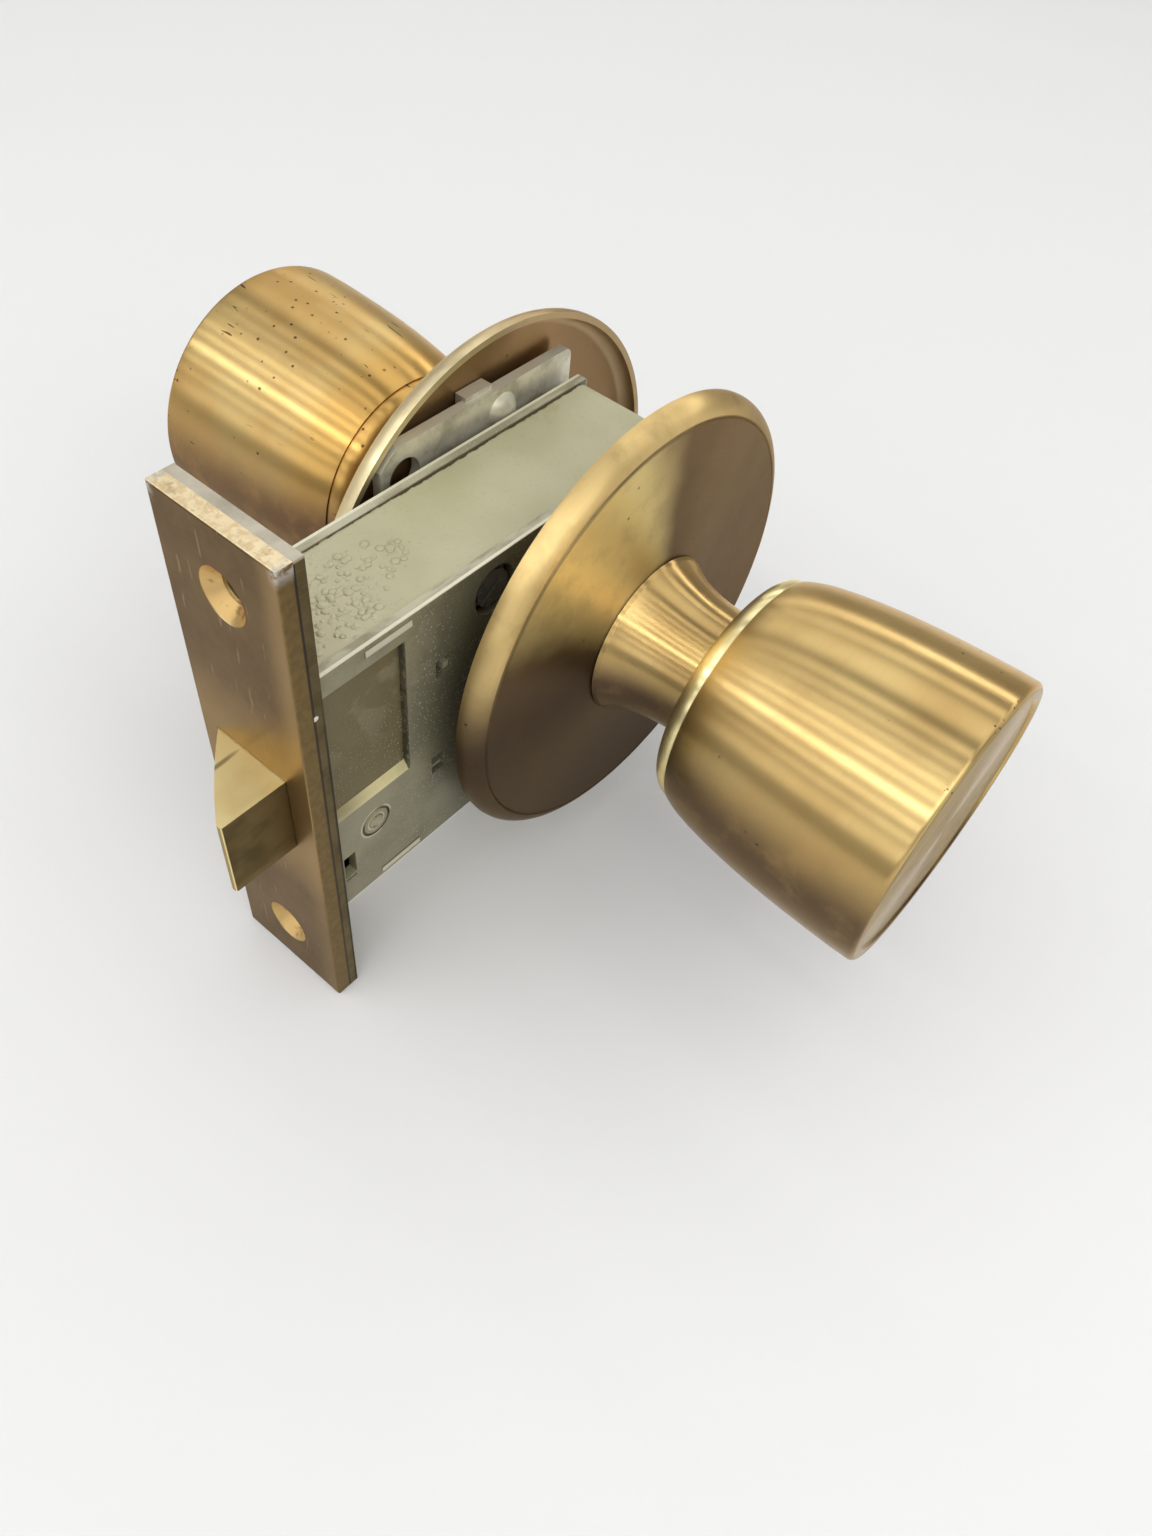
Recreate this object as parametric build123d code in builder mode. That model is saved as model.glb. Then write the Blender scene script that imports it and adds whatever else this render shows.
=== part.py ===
from build123d import *
import math
import os

os.makedirs("parts", exist_ok=True)

# Mortise latch lockset with a knob and a rose on each side, in millimetres.
# X runs from the back of the front into the door, Y along the knob axis, Z up the front.
# The origin is the middle of the front's back face, which seats on the door's edge,
# halfway between its two screw holes.

# Front: a brass armor front over a steel inner front
front_width = 25.4
front_height = 108.0
armor_thickness = 2.9
inner_front_thickness = 1.9
armor_edge_radius = 0.4
front_screw_spacing = 83.2
front_screw_hole_radius = 2.75
front_screw_sink_radius = 4.8

# Latch bolt
latch_width = 16.0
latch_height = 17.0
latch_y = 0.7
latch_z = -0.9
latch_projection = 12.5
latch_body_length = 12.5
latch_tip_width = 1.1
latch_bevel_bulge = 0.45
latch_corner_radius = 0.5
latch_clearance = 0.15

# Case of folded sheet: two side plates and a band between them
case_rear = 85.5
case_height = 59.0
case_half_width = 11.8
side_plate_thickness = 1.9
band_thickness = 1.9
band_inset = 0.4
band_corner_radius = 2.2
case_corner_radius = 0.8

# Tabs of the band that key into both side plates
tab_length = 9.4
tab_thickness = 1.2
tab_front = 9.2
tab_proud = 0.2
tab_clearance = 0.1

# Pressed panel in the near side plate, open to its front edge
panel_rear = 16.8
panel_bottom = -4.4
panel_top = 26.0
panel_depth = 1.1
panel_bevel = 1.8

# Small openings in the near side plate
key_slot_x = 2.2
key_slot_z = -18.2
key_slot_width = 2.6
key_slot_height = 5.8
end_slot_x = 2.2
end_slot_z = -21.9
end_slot_width = 2.4
end_slot_height = 0.7
upper_window_x = 25.4
upper_window_z = 14.6
upper_window_width = 3.6
upper_window_height = 3.8
lower_window_x = 23.8
lower_window_z = -8.8
lower_window_width = 3.0
lower_window_height = 4.2

# Knob axis
axis_x = 66.8
axis_z = 1.0

# Roses: turned dishes with a rolled edge
rose_radius = 44.6
rose_thickness = 1.2
rose_roll_depth = 4.2
rose_roll_width = 3.4
rose_depth = 5.9
rose_hub_radius = 16.5
rose_hole_radius = 10.2
front_rose_mouth = 17.5
rear_rose_mouth = 14.5

# Knobs: a drawn shell crimped on a turned back, on a flared shank
knob_length = 42.1
knob_seam_radius = 22.9
knob_shoulder_depth = 7.0
knob_shoulder_radius = 25.0
knob_end_band = 5.0
knob_end_radius = 27.6
knob_wall = 1.5
knob_edge_radius = 1.2
knob_face_recess = 0.4
knob_rim_width = 1.5
knob_back_depth = 4.6
knob_back_radius = 22.6
knob_bead_width = 3.4
knob_bead_drop = 2.6
knob_back_wall = 1.4
knob_back_lip = 2.4
seam_gap = 0.1
shank_radius = 12.4
shank_foot_radius = 16.0
shank_foot_height = 0.8
shank_barrel_radius = 9.5
shank_inside_length = 6.4
shank_foot_gap = 0.3
front_knob_seam = 45.6
rear_knob_seam = 38.0

# Hub, spindle and involute lobes: the base radius is the travel of the latch for each radian of knob
spindle_size = 8.0
spindle_clearance = 0.05
hub_radius = 8.5
hub_journal_radius = 7.4
journal_clearance = 0.08
hub_end_play = 0.2
knob_turn = 52.0
involute_radius = 14.0
involute_start = 0.3
lobe_inner = 4.4
lobe_outer = 7.5
lobe_tip_width = 3.4

# Retractor: a folded yoke that straddles the hub
retractor_clearance = 0.15
retractor_sheet = 1.8
retractor_half_width = 9.5
retractor_bridge_x = 26.7
retractor_bridge_thickness = 2.0
retractor_web_height = 16.0
retractor_fork_radius = 9.2
retractor_finger_width = 8.8
retractor_lug_thickness = 2.5
retractor_lug_height = 5.0
retractor_shoulder_ahead = 24.6
retractor_shoulder_thickness = 2.0
retractor_shoulder_margin = 0.3

# Latch tail
tail_radius = 2.2
tail_bore_depth = 8.0
tail_fit = 0.05
tail_flange_radius = 3.4
tail_flange_thickness = 2.3
tail_flange_gap = 0.2

# Springs
latch_spring_radius = 4.2
latch_spring_wire = 0.45
latch_spring_turns = 6
return_spring_radius = 2.6
return_spring_wire = 0.4
return_spring_turns = 8
spring_end_gap = 0.1

# Rivets, posts and screws inside the case
post_margin = 7.0
rear_post_x = 79.2
rear_post_radius = 2.8
rear_post_tenon = 1.8
front_rivet_x = 8.7
front_rivet_z = -11.5
front_rivet_radius = 1.5
front_rivet_proud = 0.3
ring_radius = 2.9
ring_width = 0.5
ring_depth = 0.3
fixing_post_ahead = 29.6
fixing_post_radius = 4.2
fixing_hole_radius = 4.7
fixing_screw_radius = 1.9
fixing_bore_depth = 9.0
fixing_head_radius = 3.5
fixing_head_height = 1.4
fixing_slot_width = 0.8
fixing_slot_depth = 0.7
hole_fit = 0.05

# Guides above and below the latch
guide_sheet = 1.2
guide_gap = 0.5
guide_front = 3.2
lower_guide_front = 12.2
guide_upright = 7.2
guide_lug_sink = 0.8

# Collars and mounting plates that carry the roses
collar_flange_radius = 14.0
collar_flange_thickness = 2.2
collar_sleeve_radius = 11.4
collar_clearance = 0.1
plate_thickness = 2.0
plate_hole_fit = 0.1
front_plate_radius = 24.0
front_plate_rivet_offset = 17.5
rear_plate_ahead = 29.6
rear_plate_behind = 18.4
rear_plate_end_gap = 10.6
rear_plate_corner = 1.5
rear_plate_margin = 0.8
rear_plate_rivet_edge = 4.9
rear_plate_hole_ahead = 24.1
rear_plate_hole_edge = 6.5
rear_plate_hole_radius = 3.5
rear_tab_ahead = 5.2
rear_tab_width = 6.5
rear_tab_rise = 0.8
rear_tab_reach = 1.5
plate_rivet_radius = 2.0
plate_rivet_head_radius = 3.5
plate_rivet_head_height = 1.8

# Set screws in the shanks
set_screw_radius = 1.5
set_screw_length = 7.2
set_screw_head_gap = 0.4

# Places that follow from the sizes above
case_front = 0.0
front_face = case_front - inner_front_thickness - armor_thickness
case_top = axis_z + case_height / 2
case_bottom = axis_z - case_height / 2
case_length = case_rear - case_front
case_middle_x = (case_front + case_rear) / 2
plate_inside = case_half_width - side_plate_thickness
band_top = case_top - band_inset
band_bottom = case_bottom + band_inset
band_rear = case_rear - band_inset
inside_top = band_top - band_thickness
inside_bottom = band_bottom + band_thickness
retractor_travel = involute_radius * math.radians(knob_turn)
latch_rear = front_face + latch_body_length
latch_tip = front_face - latch_projection
latch_top = latch_z + latch_height / 2
latch_bottom = latch_z - latch_height / 2
upper_post_z = case_top - post_margin
lower_post_z = case_bottom + post_margin
tail_flange_x = retractor_bridge_x + retractor_bridge_thickness + tail_flange_gap
lug_x = axis_x + involute_start + retractor_clearance
fixing_post_x = axis_x - fixing_post_ahead
retractor_shoulder_x = axis_x - retractor_shoulder_ahead
rose_face_radius = rose_radius - rose_roll_width
rear_plate_front = axis_x - rear_plate_ahead
rear_plate_rear = axis_x + rear_plate_behind
rear_plate_half_height = rose_radius - rear_plate_end_gap
rear_plate_rivet_offset = rear_plate_half_height - rear_plate_rivet_edge
rear_plate_hole_x = axis_x - rear_plate_hole_ahead
rear_plate_hole_offset = rear_plate_half_height - rear_plate_hole_edge
rear_tab_x = axis_x - rear_tab_ahead
collar_face = case_half_width + collar_flange_thickness
plate_face = collar_face + plate_thickness
knob_axis = Axis((axis_x, 0, axis_z), (0, 1, 0))

# Profiles of turned pieces are drawn as (distance along Y, radius)
turning = Plane(origin=(axis_x, 0, axis_z), x_dir=(0, 1, 0), z_dir=(1, 0, 0))


def side_plane(y):
    # Drawn in X and Z at the distance y, and extruded towards -Y
    return Plane.XZ.offset(-y)


def front_plane(x):
    # Drawn in Y and Z at the distance x, and extruded into the door
    return Plane.YZ.offset(x)


# Armor front with its latch opening and two countersunk holes
with BuildPart() as armor_front:
    with BuildSketch(front_plane(front_face)):
        Rectangle(front_width, front_height)
    extrude(amount=armor_thickness)
    fillet(armor_front.faces().sort_by(Axis.X)[0].edges(), armor_edge_radius)
    with BuildSketch(front_plane(front_face)):
        with Locations((latch_y, latch_z)):
            Rectangle(latch_width + 2 * latch_clearance, latch_height + 2 * latch_clearance)
    extrude(amount=armor_thickness, mode=Mode.SUBTRACT)
    with Locations(Plane(origin=(front_face, 0, 0), x_dir=(0, -1, 0), z_dir=(-1, 0, 0))):
        with GridLocations(0, front_screw_spacing, 1, 2):
            CounterSinkHole(front_screw_hole_radius, front_screw_sink_radius, armor_thickness)
armor_front.part.label = "armor_front"
export_step(armor_front.part, "parts/armor_front.step")

# Inner front behind it, with the same openings
with BuildPart() as inner_front:
    with BuildSketch(front_plane(front_face + armor_thickness)):
        Rectangle(front_width, front_height)
        with Locations((latch_y, latch_z)):
            Rectangle(
                latch_width + 2 * latch_clearance,
                latch_height + 2 * latch_clearance,
                mode=Mode.SUBTRACT,
            )
        with GridLocations(0, front_screw_spacing, 1, 2):
            Circle(front_screw_hole_radius, mode=Mode.SUBTRACT)
    extrude(amount=inner_front_thickness)
inner_front.part.label = "inner_front"
export_step(inner_front.part, "parts/inner_front.step")

# Far side plate: plain, with the hub bearing, tab slots and rivet holes
with BuildPart() as case_side_plate:
    with BuildSketch(side_plane(case_half_width)):
        with Locations((case_middle_x, axis_z)):
            Rectangle(case_length, case_height)
        with Locations((axis_x, axis_z)):
            Circle(hub_journal_radius + journal_clearance, mode=Mode.SUBTRACT)
        with Locations(
            (tab_front + tab_length / 2, inside_top + tab_thickness / 2),
            (tab_front + tab_length / 2, inside_bottom - tab_thickness / 2),
        ):
            Rectangle(
                tab_length + 2 * tab_clearance, tab_thickness + 2 * tab_clearance, mode=Mode.SUBTRACT
            )
        with Locations((rear_post_x, upper_post_z), (rear_post_x, lower_post_z)):
            Circle(rear_post_tenon + hole_fit, mode=Mode.SUBTRACT)
        with Locations((front_rivet_x, front_rivet_z)):
            Circle(front_rivet_radius + hole_fit, mode=Mode.SUBTRACT)
    extrude(amount=side_plate_thickness)
    fillet(
        case_side_plate.edges().filter_by(Axis.Y).group_by(Axis.X)[-1],
        case_corner_radius,
    )
case_side_plate.part.label = "case_side_plate"
export_step(case_side_plate.part, "parts/case_side_plate.step")

# Near side plate with the pressed panel, windows, access holes and the stamped ring
with BuildPart() as case_cap:
    with BuildSketch(side_plane(-plate_inside)):
        with Locations((case_middle_x, axis_z)):
            Rectangle(case_length, case_height)
        with Locations((axis_x, axis_z)):
            Circle(hub_journal_radius + journal_clearance, mode=Mode.SUBTRACT)
        with Locations(
            (tab_front + tab_length / 2, inside_top + tab_thickness / 2),
            (tab_front + tab_length / 2, inside_bottom - tab_thickness / 2),
        ):
            Rectangle(
                tab_length + 2 * tab_clearance, tab_thickness + 2 * tab_clearance, mode=Mode.SUBTRACT
            )
        with Locations((rear_post_x, upper_post_z), (rear_post_x, lower_post_z)):
            Circle(rear_post_tenon + hole_fit, mode=Mode.SUBTRACT)
        with Locations((front_rivet_x, front_rivet_z)):
            Circle(front_rivet_radius + hole_fit, mode=Mode.SUBTRACT)
        with Locations((fixing_post_x, upper_post_z), (fixing_post_x, lower_post_z)):
            Circle(fixing_hole_radius, mode=Mode.SUBTRACT)
        with Locations((upper_window_x, upper_window_z)):
            Rectangle(upper_window_width, upper_window_height, mode=Mode.SUBTRACT)
        with Locations((lower_window_x, lower_window_z)):
            Rectangle(lower_window_width, lower_window_height, mode=Mode.SUBTRACT)
        with Locations((key_slot_x, key_slot_z)):
            Rectangle(key_slot_width, key_slot_height, mode=Mode.SUBTRACT)
        with Locations((end_slot_x, end_slot_z)):
            Rectangle(end_slot_width, end_slot_height, mode=Mode.SUBTRACT)
    extrude(amount=side_plate_thickness)
    fillet(
        case_cap.edges().filter_by(Axis.Y).group_by(Axis.X)[-1],
        case_corner_radius,
    )
    with BuildSketch(side_plane(-case_half_width + panel_depth)):
        with BuildLine():
            Polyline(
                (case_front, panel_bottom + panel_bevel),
                (panel_rear, panel_bottom + panel_bevel),
                (panel_rear, panel_top),
                (case_front, panel_top),
                close=True,
            )
        make_face()
    extrude(amount=panel_depth, mode=Mode.SUBTRACT)
    with BuildSketch(front_plane(case_front)):
        with BuildLine():
            Polyline(
                (-case_half_width + panel_depth, panel_bottom + panel_bevel),
                (-case_half_width, panel_bottom + panel_bevel),
                (-case_half_width, panel_bottom),
                close=True,
            )
        make_face()
    extrude(amount=panel_rear - case_front, mode=Mode.SUBTRACT)
    with BuildSketch(side_plane(-case_half_width + ring_depth)):
        with Locations((front_rivet_x, front_rivet_z)):
            Circle(ring_radius + ring_width / 2)
            Circle(ring_radius - ring_width / 2, mode=Mode.SUBTRACT)
    extrude(amount=ring_depth, mode=Mode.SUBTRACT)
case_cap.part.label = "case_cap"
export_step(case_cap.part, "parts/case_cap.step")

# Band: one folded strip along the top, the rear and the bottom, with tabs on both sides
with BuildPart() as case_band:
    with BuildSketch(side_plane(plate_inside)):
        with BuildLine():
            FilletPolyline(
                (case_front, band_top),
                (band_rear, band_top),
                (band_rear, band_bottom),
                (case_front, band_bottom),
                radius=band_corner_radius,
            )
            Line((case_front, band_bottom), (case_front, inside_bottom))
            FilletPolyline(
                (case_front, inside_bottom),
                (band_rear - band_thickness, inside_bottom),
                (band_rear - band_thickness, inside_top),
                (case_front, inside_top),
                radius=band_corner_radius - band_thickness,
            )
            Line((case_front, inside_top), (case_front, band_top))
        make_face()
    extrude(amount=2 * plate_inside)
    with BuildSketch(side_plane(case_half_width + tab_proud)):
        with Locations(
            (tab_front + tab_length / 2, inside_top + tab_thickness / 2),
            (tab_front + tab_length / 2, inside_bottom - tab_thickness / 2),
        ):
            Rectangle(tab_length, tab_thickness)
    extrude(amount=2 * (case_half_width + tab_proud))
case_band.part.label = "case_band"
export_step(case_band.part, "parts/case_band.step")

# Rivets of the case: the small one in the stamped ring and two shouldered posts at the rear
with BuildPart() as case_rivets:
    with BuildSketch(side_plane(case_half_width)):
        with Locations((front_rivet_x, front_rivet_z)):
            Circle(front_rivet_radius)
    extrude(amount=2 * case_half_width + front_rivet_proud)
    fillet(case_rivets.faces().sort_by(Axis.Y)[0].edges(), front_rivet_proud)
    with BuildSketch(side_plane(plate_inside)):
        with Locations((rear_post_x, upper_post_z), (rear_post_x, lower_post_z)):
            Circle(rear_post_radius)
    extrude(amount=2 * plate_inside)
    with BuildSketch(side_plane(case_half_width)):
        with Locations((rear_post_x, upper_post_z), (rear_post_x, lower_post_z)):
            Circle(rear_post_tenon)
    extrude(amount=2 * case_half_width)
case_rivets.part.label = "case_rivets"
export_step(case_rivets.part, "parts/case_rivets.step")

# Posts behind the two access holes, tapped for their screws
with BuildPart() as fixing_posts:
    with BuildSketch(side_plane(plate_inside)):
        with Locations((fixing_post_x, upper_post_z), (fixing_post_x, lower_post_z)):
            Circle(fixing_post_radius)
    extrude(amount=2 * plate_inside)
    with BuildSketch(side_plane(-plate_inside + fixing_bore_depth)):
        with Locations((fixing_post_x, upper_post_z), (fixing_post_x, lower_post_z)):
            Circle(fixing_screw_radius + hole_fit)
    extrude(amount=fixing_bore_depth, mode=Mode.SUBTRACT)
fixing_posts.part.label = "fixing_posts"
export_step(fixing_posts.part, "parts/fixing_posts.step")

# Slotted screws seen through the access holes
with BuildPart() as fixing_screws:
    with BuildSketch(side_plane(-plate_inside)):
        with Locations((fixing_post_x, upper_post_z), (fixing_post_x, lower_post_z)):
            Circle(fixing_head_radius)
    extrude(amount=fixing_head_height)
    with BuildSketch(side_plane(-plate_inside + fixing_bore_depth - hole_fit)):
        with Locations((fixing_post_x, upper_post_z), (fixing_post_x, lower_post_z)):
            Circle(fixing_screw_radius)
    extrude(amount=fixing_bore_depth - hole_fit)
    with BuildSketch(side_plane(-plate_inside - fixing_head_height + fixing_slot_depth)):
        with Locations((fixing_post_x, upper_post_z), (fixing_post_x, lower_post_z)):
            Rectangle(2 * fixing_head_radius, fixing_slot_width, rotation=35)
    extrude(amount=fixing_slot_depth, mode=Mode.SUBTRACT)
fixing_screws.part.label = "fixing_screws"
export_step(fixing_screws.part, "parts/fixing_screws.step")

# Guides of folded sheet above and below the latch, with lugs in the two windows
upper_guide_z = latch_top + guide_gap
lower_guide_z = latch_bottom - guide_gap
upper_guide_rear = upper_window_x + upper_window_width / 2 - hole_fit
lower_guide_rear = lower_window_x + lower_window_width / 2 - hole_fit
upper_lug_bottom = upper_window_z - upper_window_height / 2 + hole_fit
lower_lug_bottom = lower_guide_z - guide_sheet
guide_lug_reach = case_half_width - guide_lug_sink
with BuildPart() as latch_guides:
    with BuildSketch(side_plane(plate_inside)):
        with BuildLine():
            Polyline(
                (guide_front, upper_guide_z),
                (upper_guide_rear, upper_guide_z),
                (upper_guide_rear, upper_guide_z + guide_upright),
                (upper_guide_rear - guide_sheet, upper_guide_z + guide_upright),
                (upper_guide_rear - guide_sheet, upper_guide_z + guide_sheet),
                (guide_front, upper_guide_z + guide_sheet),
                close=True,
            )
        make_face()
        with BuildLine():
            Polyline(
                (lower_guide_front, lower_guide_z),
                (lower_guide_rear, lower_guide_z),
                (lower_guide_rear, lower_lug_bottom),
                (lower_guide_front, lower_lug_bottom),
                close=True,
            )
        make_face()
    extrude(amount=2 * plate_inside)
    with BuildSketch(side_plane(-plate_inside)):
        with BuildLine():
            Polyline(
                (upper_guide_rear - guide_sheet, upper_lug_bottom),
                (upper_guide_rear, upper_lug_bottom),
                (upper_guide_rear, upper_lug_bottom + guide_sheet),
                (upper_guide_rear - guide_sheet, upper_lug_bottom + guide_sheet),
                close=True,
            )
        make_face()
        with BuildLine():
            Polyline(
                (lower_guide_rear - lower_window_width + 2 * hole_fit, lower_guide_z - guide_sheet / 2),
                (lower_guide_rear, lower_guide_z - guide_sheet / 2),
                (lower_guide_rear, lower_guide_z),
                (lower_guide_rear - lower_window_width + 2 * hole_fit, lower_guide_z),
                close=True,
            )
        make_face()
    extrude(amount=guide_lug_reach - plate_inside)
latch_guides.part.label = "latch_guides"
export_step(latch_guides.part, "parts/latch_guides.step")

# Latch bolt: flat on the near side, with a slightly swollen bevel that faces the strike
latch_near = latch_y - latch_width / 2
latch_far = latch_y + latch_width / 2
bevel_start = (latch_tip, latch_near + latch_tip_width)
bevel_end = (front_face, latch_far)
bevel_length = math.hypot(bevel_end[0] - bevel_start[0], bevel_end[1] - bevel_start[1])
bevel_normal = ((bevel_start[1] - bevel_end[1]) / bevel_length, (bevel_end[0] - bevel_start[0]) / bevel_length)
bevel_middle = (
    (bevel_start[0] + bevel_end[0]) / 2 + latch_bevel_bulge * bevel_normal[0],
    (bevel_start[1] + bevel_end[1]) / 2 + latch_bevel_bulge * bevel_normal[1],
)
with BuildPart() as latch_head:
    with BuildSketch(Plane.XY.offset(latch_bottom)):
        with BuildLine():
            Line((latch_tip, latch_near), bevel_start)
            ThreePointArc(bevel_start, bevel_middle, bevel_end)
            Line(bevel_end, (latch_rear, latch_far))
            Line((latch_rear, latch_far), (latch_rear, latch_near))
            Line((latch_rear, latch_near), (latch_tip, latch_near))
        make_face()
    extrude(amount=latch_height)
    fillet(latch_head.edges().filter_by(Axis.Z).group_by(Axis.X)[0], latch_corner_radius)
    with Locations(Plane(origin=(latch_rear, latch_y, latch_z), x_dir=(0, 1, 0), z_dir=(1, 0, 0))):
        Hole(tail_radius + tail_fit, tail_bore_depth)
latch_head.part.label = "latch_head"
export_step(latch_head.part, "parts/latch_head.step")

# Latch tail: a rod with a flange that the retractor pulls
with BuildPart() as latch_tail:
    with BuildSketch(front_plane(latch_rear - tail_bore_depth)):
        with Locations((latch_y, latch_z)):
            Circle(tail_radius)
    extrude(amount=tail_flange_x - latch_rear + tail_bore_depth)
    with BuildSketch(front_plane(tail_flange_x)):
        with Locations((latch_y, latch_z)):
            Circle(tail_flange_radius)
    extrude(amount=tail_flange_thickness)
latch_tail.part.label = "latch_tail"
export_step(latch_tail.part, "parts/latch_tail.step")

# Coil spring between the bolt and the bridge of the retractor
latch_spring_start = latch_rear + latch_spring_wire + spring_end_gap
latch_spring_end = retractor_bridge_x - latch_spring_wire - spring_end_gap
latch_spring_length = latch_spring_end - latch_spring_start
with BuildPart() as latch_spring:
    with BuildLine():
        latch_coil = Helix(
            pitch=latch_spring_length / latch_spring_turns,
            height=latch_spring_length,
            radius=latch_spring_radius,
            center=(latch_spring_start, latch_y, latch_z),
            direction=(1, 0, 0),
        )
    with BuildSketch(Plane(origin=latch_coil @ 0, z_dir=latch_coil % 0)):
        RegularPolygon(latch_spring_wire, 6)
    sweep(is_frenet=True)
latch_spring.part.label = "latch_spring"
export_step(latch_spring.part, "parts/latch_spring.step")

# Retractor: a bridge round the latch tail, two forked arms round the hub,
# lugs in front of the hub's lobes and two shoulders for the return springs
arm_inside = retractor_half_width - retractor_sheet
finger_top = axis_z + retractor_fork_radius + retractor_finger_width
finger_bottom = axis_z - retractor_fork_radius - retractor_finger_width
fork_front = axis_x - hub_radius - retractor_travel - retractor_clearance
finger_rear = lug_x + retractor_lug_thickness
shoulder_top = upper_post_z + return_spring_radius + retractor_shoulder_margin
shoulder_bottom = lower_post_z - return_spring_radius - retractor_shoulder_margin
lug_middle = involute_radius + retractor_lug_height / 2 - retractor_clearance
shoulder_rear = retractor_shoulder_x + retractor_shoulder_thickness
with BuildPart() as retractor:
    for arm_plane in (side_plane(retractor_half_width), side_plane(-arm_inside)):
        with BuildSketch(arm_plane):
            with BuildLine():
                Polyline(
                    (retractor_bridge_x, latch_z - retractor_web_height / 2),
                    (retractor_bridge_x, latch_z + retractor_web_height / 2),
                    (retractor_shoulder_x - retractor_shoulder_thickness, latch_z + retractor_web_height / 2),
                    (retractor_shoulder_x, finger_top),
                    (finger_rear, finger_top),
                    (finger_rear, finger_bottom),
                    (retractor_shoulder_x, finger_bottom),
                    (retractor_shoulder_x - retractor_shoulder_thickness, latch_z - retractor_web_height / 2),
                    close=True,
                )
            make_face()
            with Locations(((fork_front + finger_rear) / 2 + 1, axis_z)):
                Rectangle(finger_rear - fork_front + 2, 2 * retractor_fork_radius, mode=Mode.SUBTRACT)
        extrude(amount=retractor_sheet)
    with BuildSketch(front_plane(retractor_bridge_x)):
        with Locations((0, latch_z)):
            Rectangle(2 * retractor_half_width, retractor_web_height)
        with Locations((latch_y, latch_z)):
            Circle(tail_radius + 2 * tail_flange_gap, mode=Mode.SUBTRACT)
    extrude(amount=retractor_bridge_thickness)
    with BuildSketch(front_plane(retractor_shoulder_x)):
        with Locations((0, (finger_top + shoulder_top) / 2)):
            Rectangle(2 * retractor_half_width, shoulder_top - finger_top)
        with Locations((0, (finger_bottom + shoulder_bottom) / 2)):
            Rectangle(2 * retractor_half_width, finger_bottom - shoulder_bottom)
    extrude(amount=retractor_shoulder_thickness)
    with BuildSketch(front_plane(lug_x)):
        for side in (-1, 1):
            with Locations(
                (side * (lobe_inner + retractor_half_width) / 2, axis_z + lug_middle),
                (side * (lobe_inner + retractor_half_width) / 2, axis_z - lug_middle),
            ):
                Rectangle(retractor_half_width - lobe_inner, retractor_lug_height)
    extrude(amount=retractor_lug_thickness)
retractor.part.label = "retractor"
export_step(retractor.part, "parts/retractor.step")

# Return springs between the retractor's shoulders and the rear posts
return_spring_start = shoulder_rear + return_spring_wire + spring_end_gap
return_spring_end = rear_post_x - rear_post_radius - return_spring_wire - spring_end_gap
return_spring_length = return_spring_end - return_spring_start
with BuildPart() as retractor_springs:
    for coil_z in (upper_post_z, lower_post_z):
        with BuildLine():
            return_coil = Helix(
                pitch=return_spring_length / return_spring_turns,
                height=return_spring_length,
                radius=return_spring_radius,
                center=(return_spring_start, 0, coil_z),
                direction=(1, 0, 0),
            )
        with BuildSketch(Plane(origin=return_coil @ 0, z_dir=return_coil % 0)):
            RegularPolygon(return_spring_wire, 6)
        sweep(is_frenet=True)
retractor_springs.part.label = "retractor_springs"
export_step(retractor_springs.part, "parts/retractor_springs.step")


def involute_point(turn):
    # Where the flat lug touches the lobe, carried back to the lobe's rest position
    along = involute_start + involute_radius * turn
    across = involute_radius
    return (
        axis_x + along * math.cos(turn) - across * math.sin(turn),
        axis_z + along * math.sin(turn) + across * math.cos(turn),
    )


# Hub: a barrel captured between the side plates, with a pair of lobes on each side.
# The face of each lobe is an involute, so the latch travels evenly with the knob.
lobe_turn = math.radians(knob_turn)
lobe_tip = involute_point(lobe_turn)
lobe_tip_radius = math.hypot(lobe_tip[0] - axis_x, lobe_tip[1] - axis_z)
lobe_tip_angle = math.atan2(lobe_tip[1] - axis_z, lobe_tip[0] - axis_x)
lobe_back_angle = lobe_tip_angle + lobe_tip_width / lobe_tip_radius
lobe_back = (
    axis_x + lobe_tip_radius * math.cos(lobe_back_angle),
    axis_z + lobe_tip_radius * math.sin(lobe_back_angle),
)
with BuildPart() as hub:
    with BuildSketch(side_plane(plate_inside - hub_end_play)):
        with Locations((axis_x, axis_z)):
            Circle(hub_radius)
    extrude(amount=2 * (plate_inside - hub_end_play))
    with BuildSketch(side_plane(case_half_width - hub_end_play)):
        with Locations((axis_x, axis_z)):
            Circle(hub_journal_radius)
    extrude(amount=2 * (case_half_width - hub_end_play))
    for lobe_plane in (side_plane(lobe_outer), side_plane(-lobe_inner)):
        with BuildSketch(lobe_plane) as lobe_sketch:
            with BuildLine():
                Line((axis_x, axis_z), (axis_x + involute_start, axis_z + involute_radius))
                Spline([involute_point(lobe_turn * step / 4) for step in range(5)])
                Line(lobe_tip, lobe_back)
                Line(lobe_back, (axis_x - hub_radius, axis_z))
                Line((axis_x - hub_radius, axis_z), (axis_x, axis_z))
            make_face()
            mirror(about=Plane.XZ.offset(-axis_z))
        extrude(amount=lobe_outer - lobe_inner)
    with BuildSketch(side_plane(case_half_width)):
        with Locations((axis_x, axis_z)):
            Rectangle(spindle_size + 2 * spindle_clearance, spindle_size + 2 * spindle_clearance)
    extrude(amount=2 * case_half_width, mode=Mode.SUBTRACT)
hub.part.label = "hub"
export_step(hub.part, "parts/hub.step")

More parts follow.
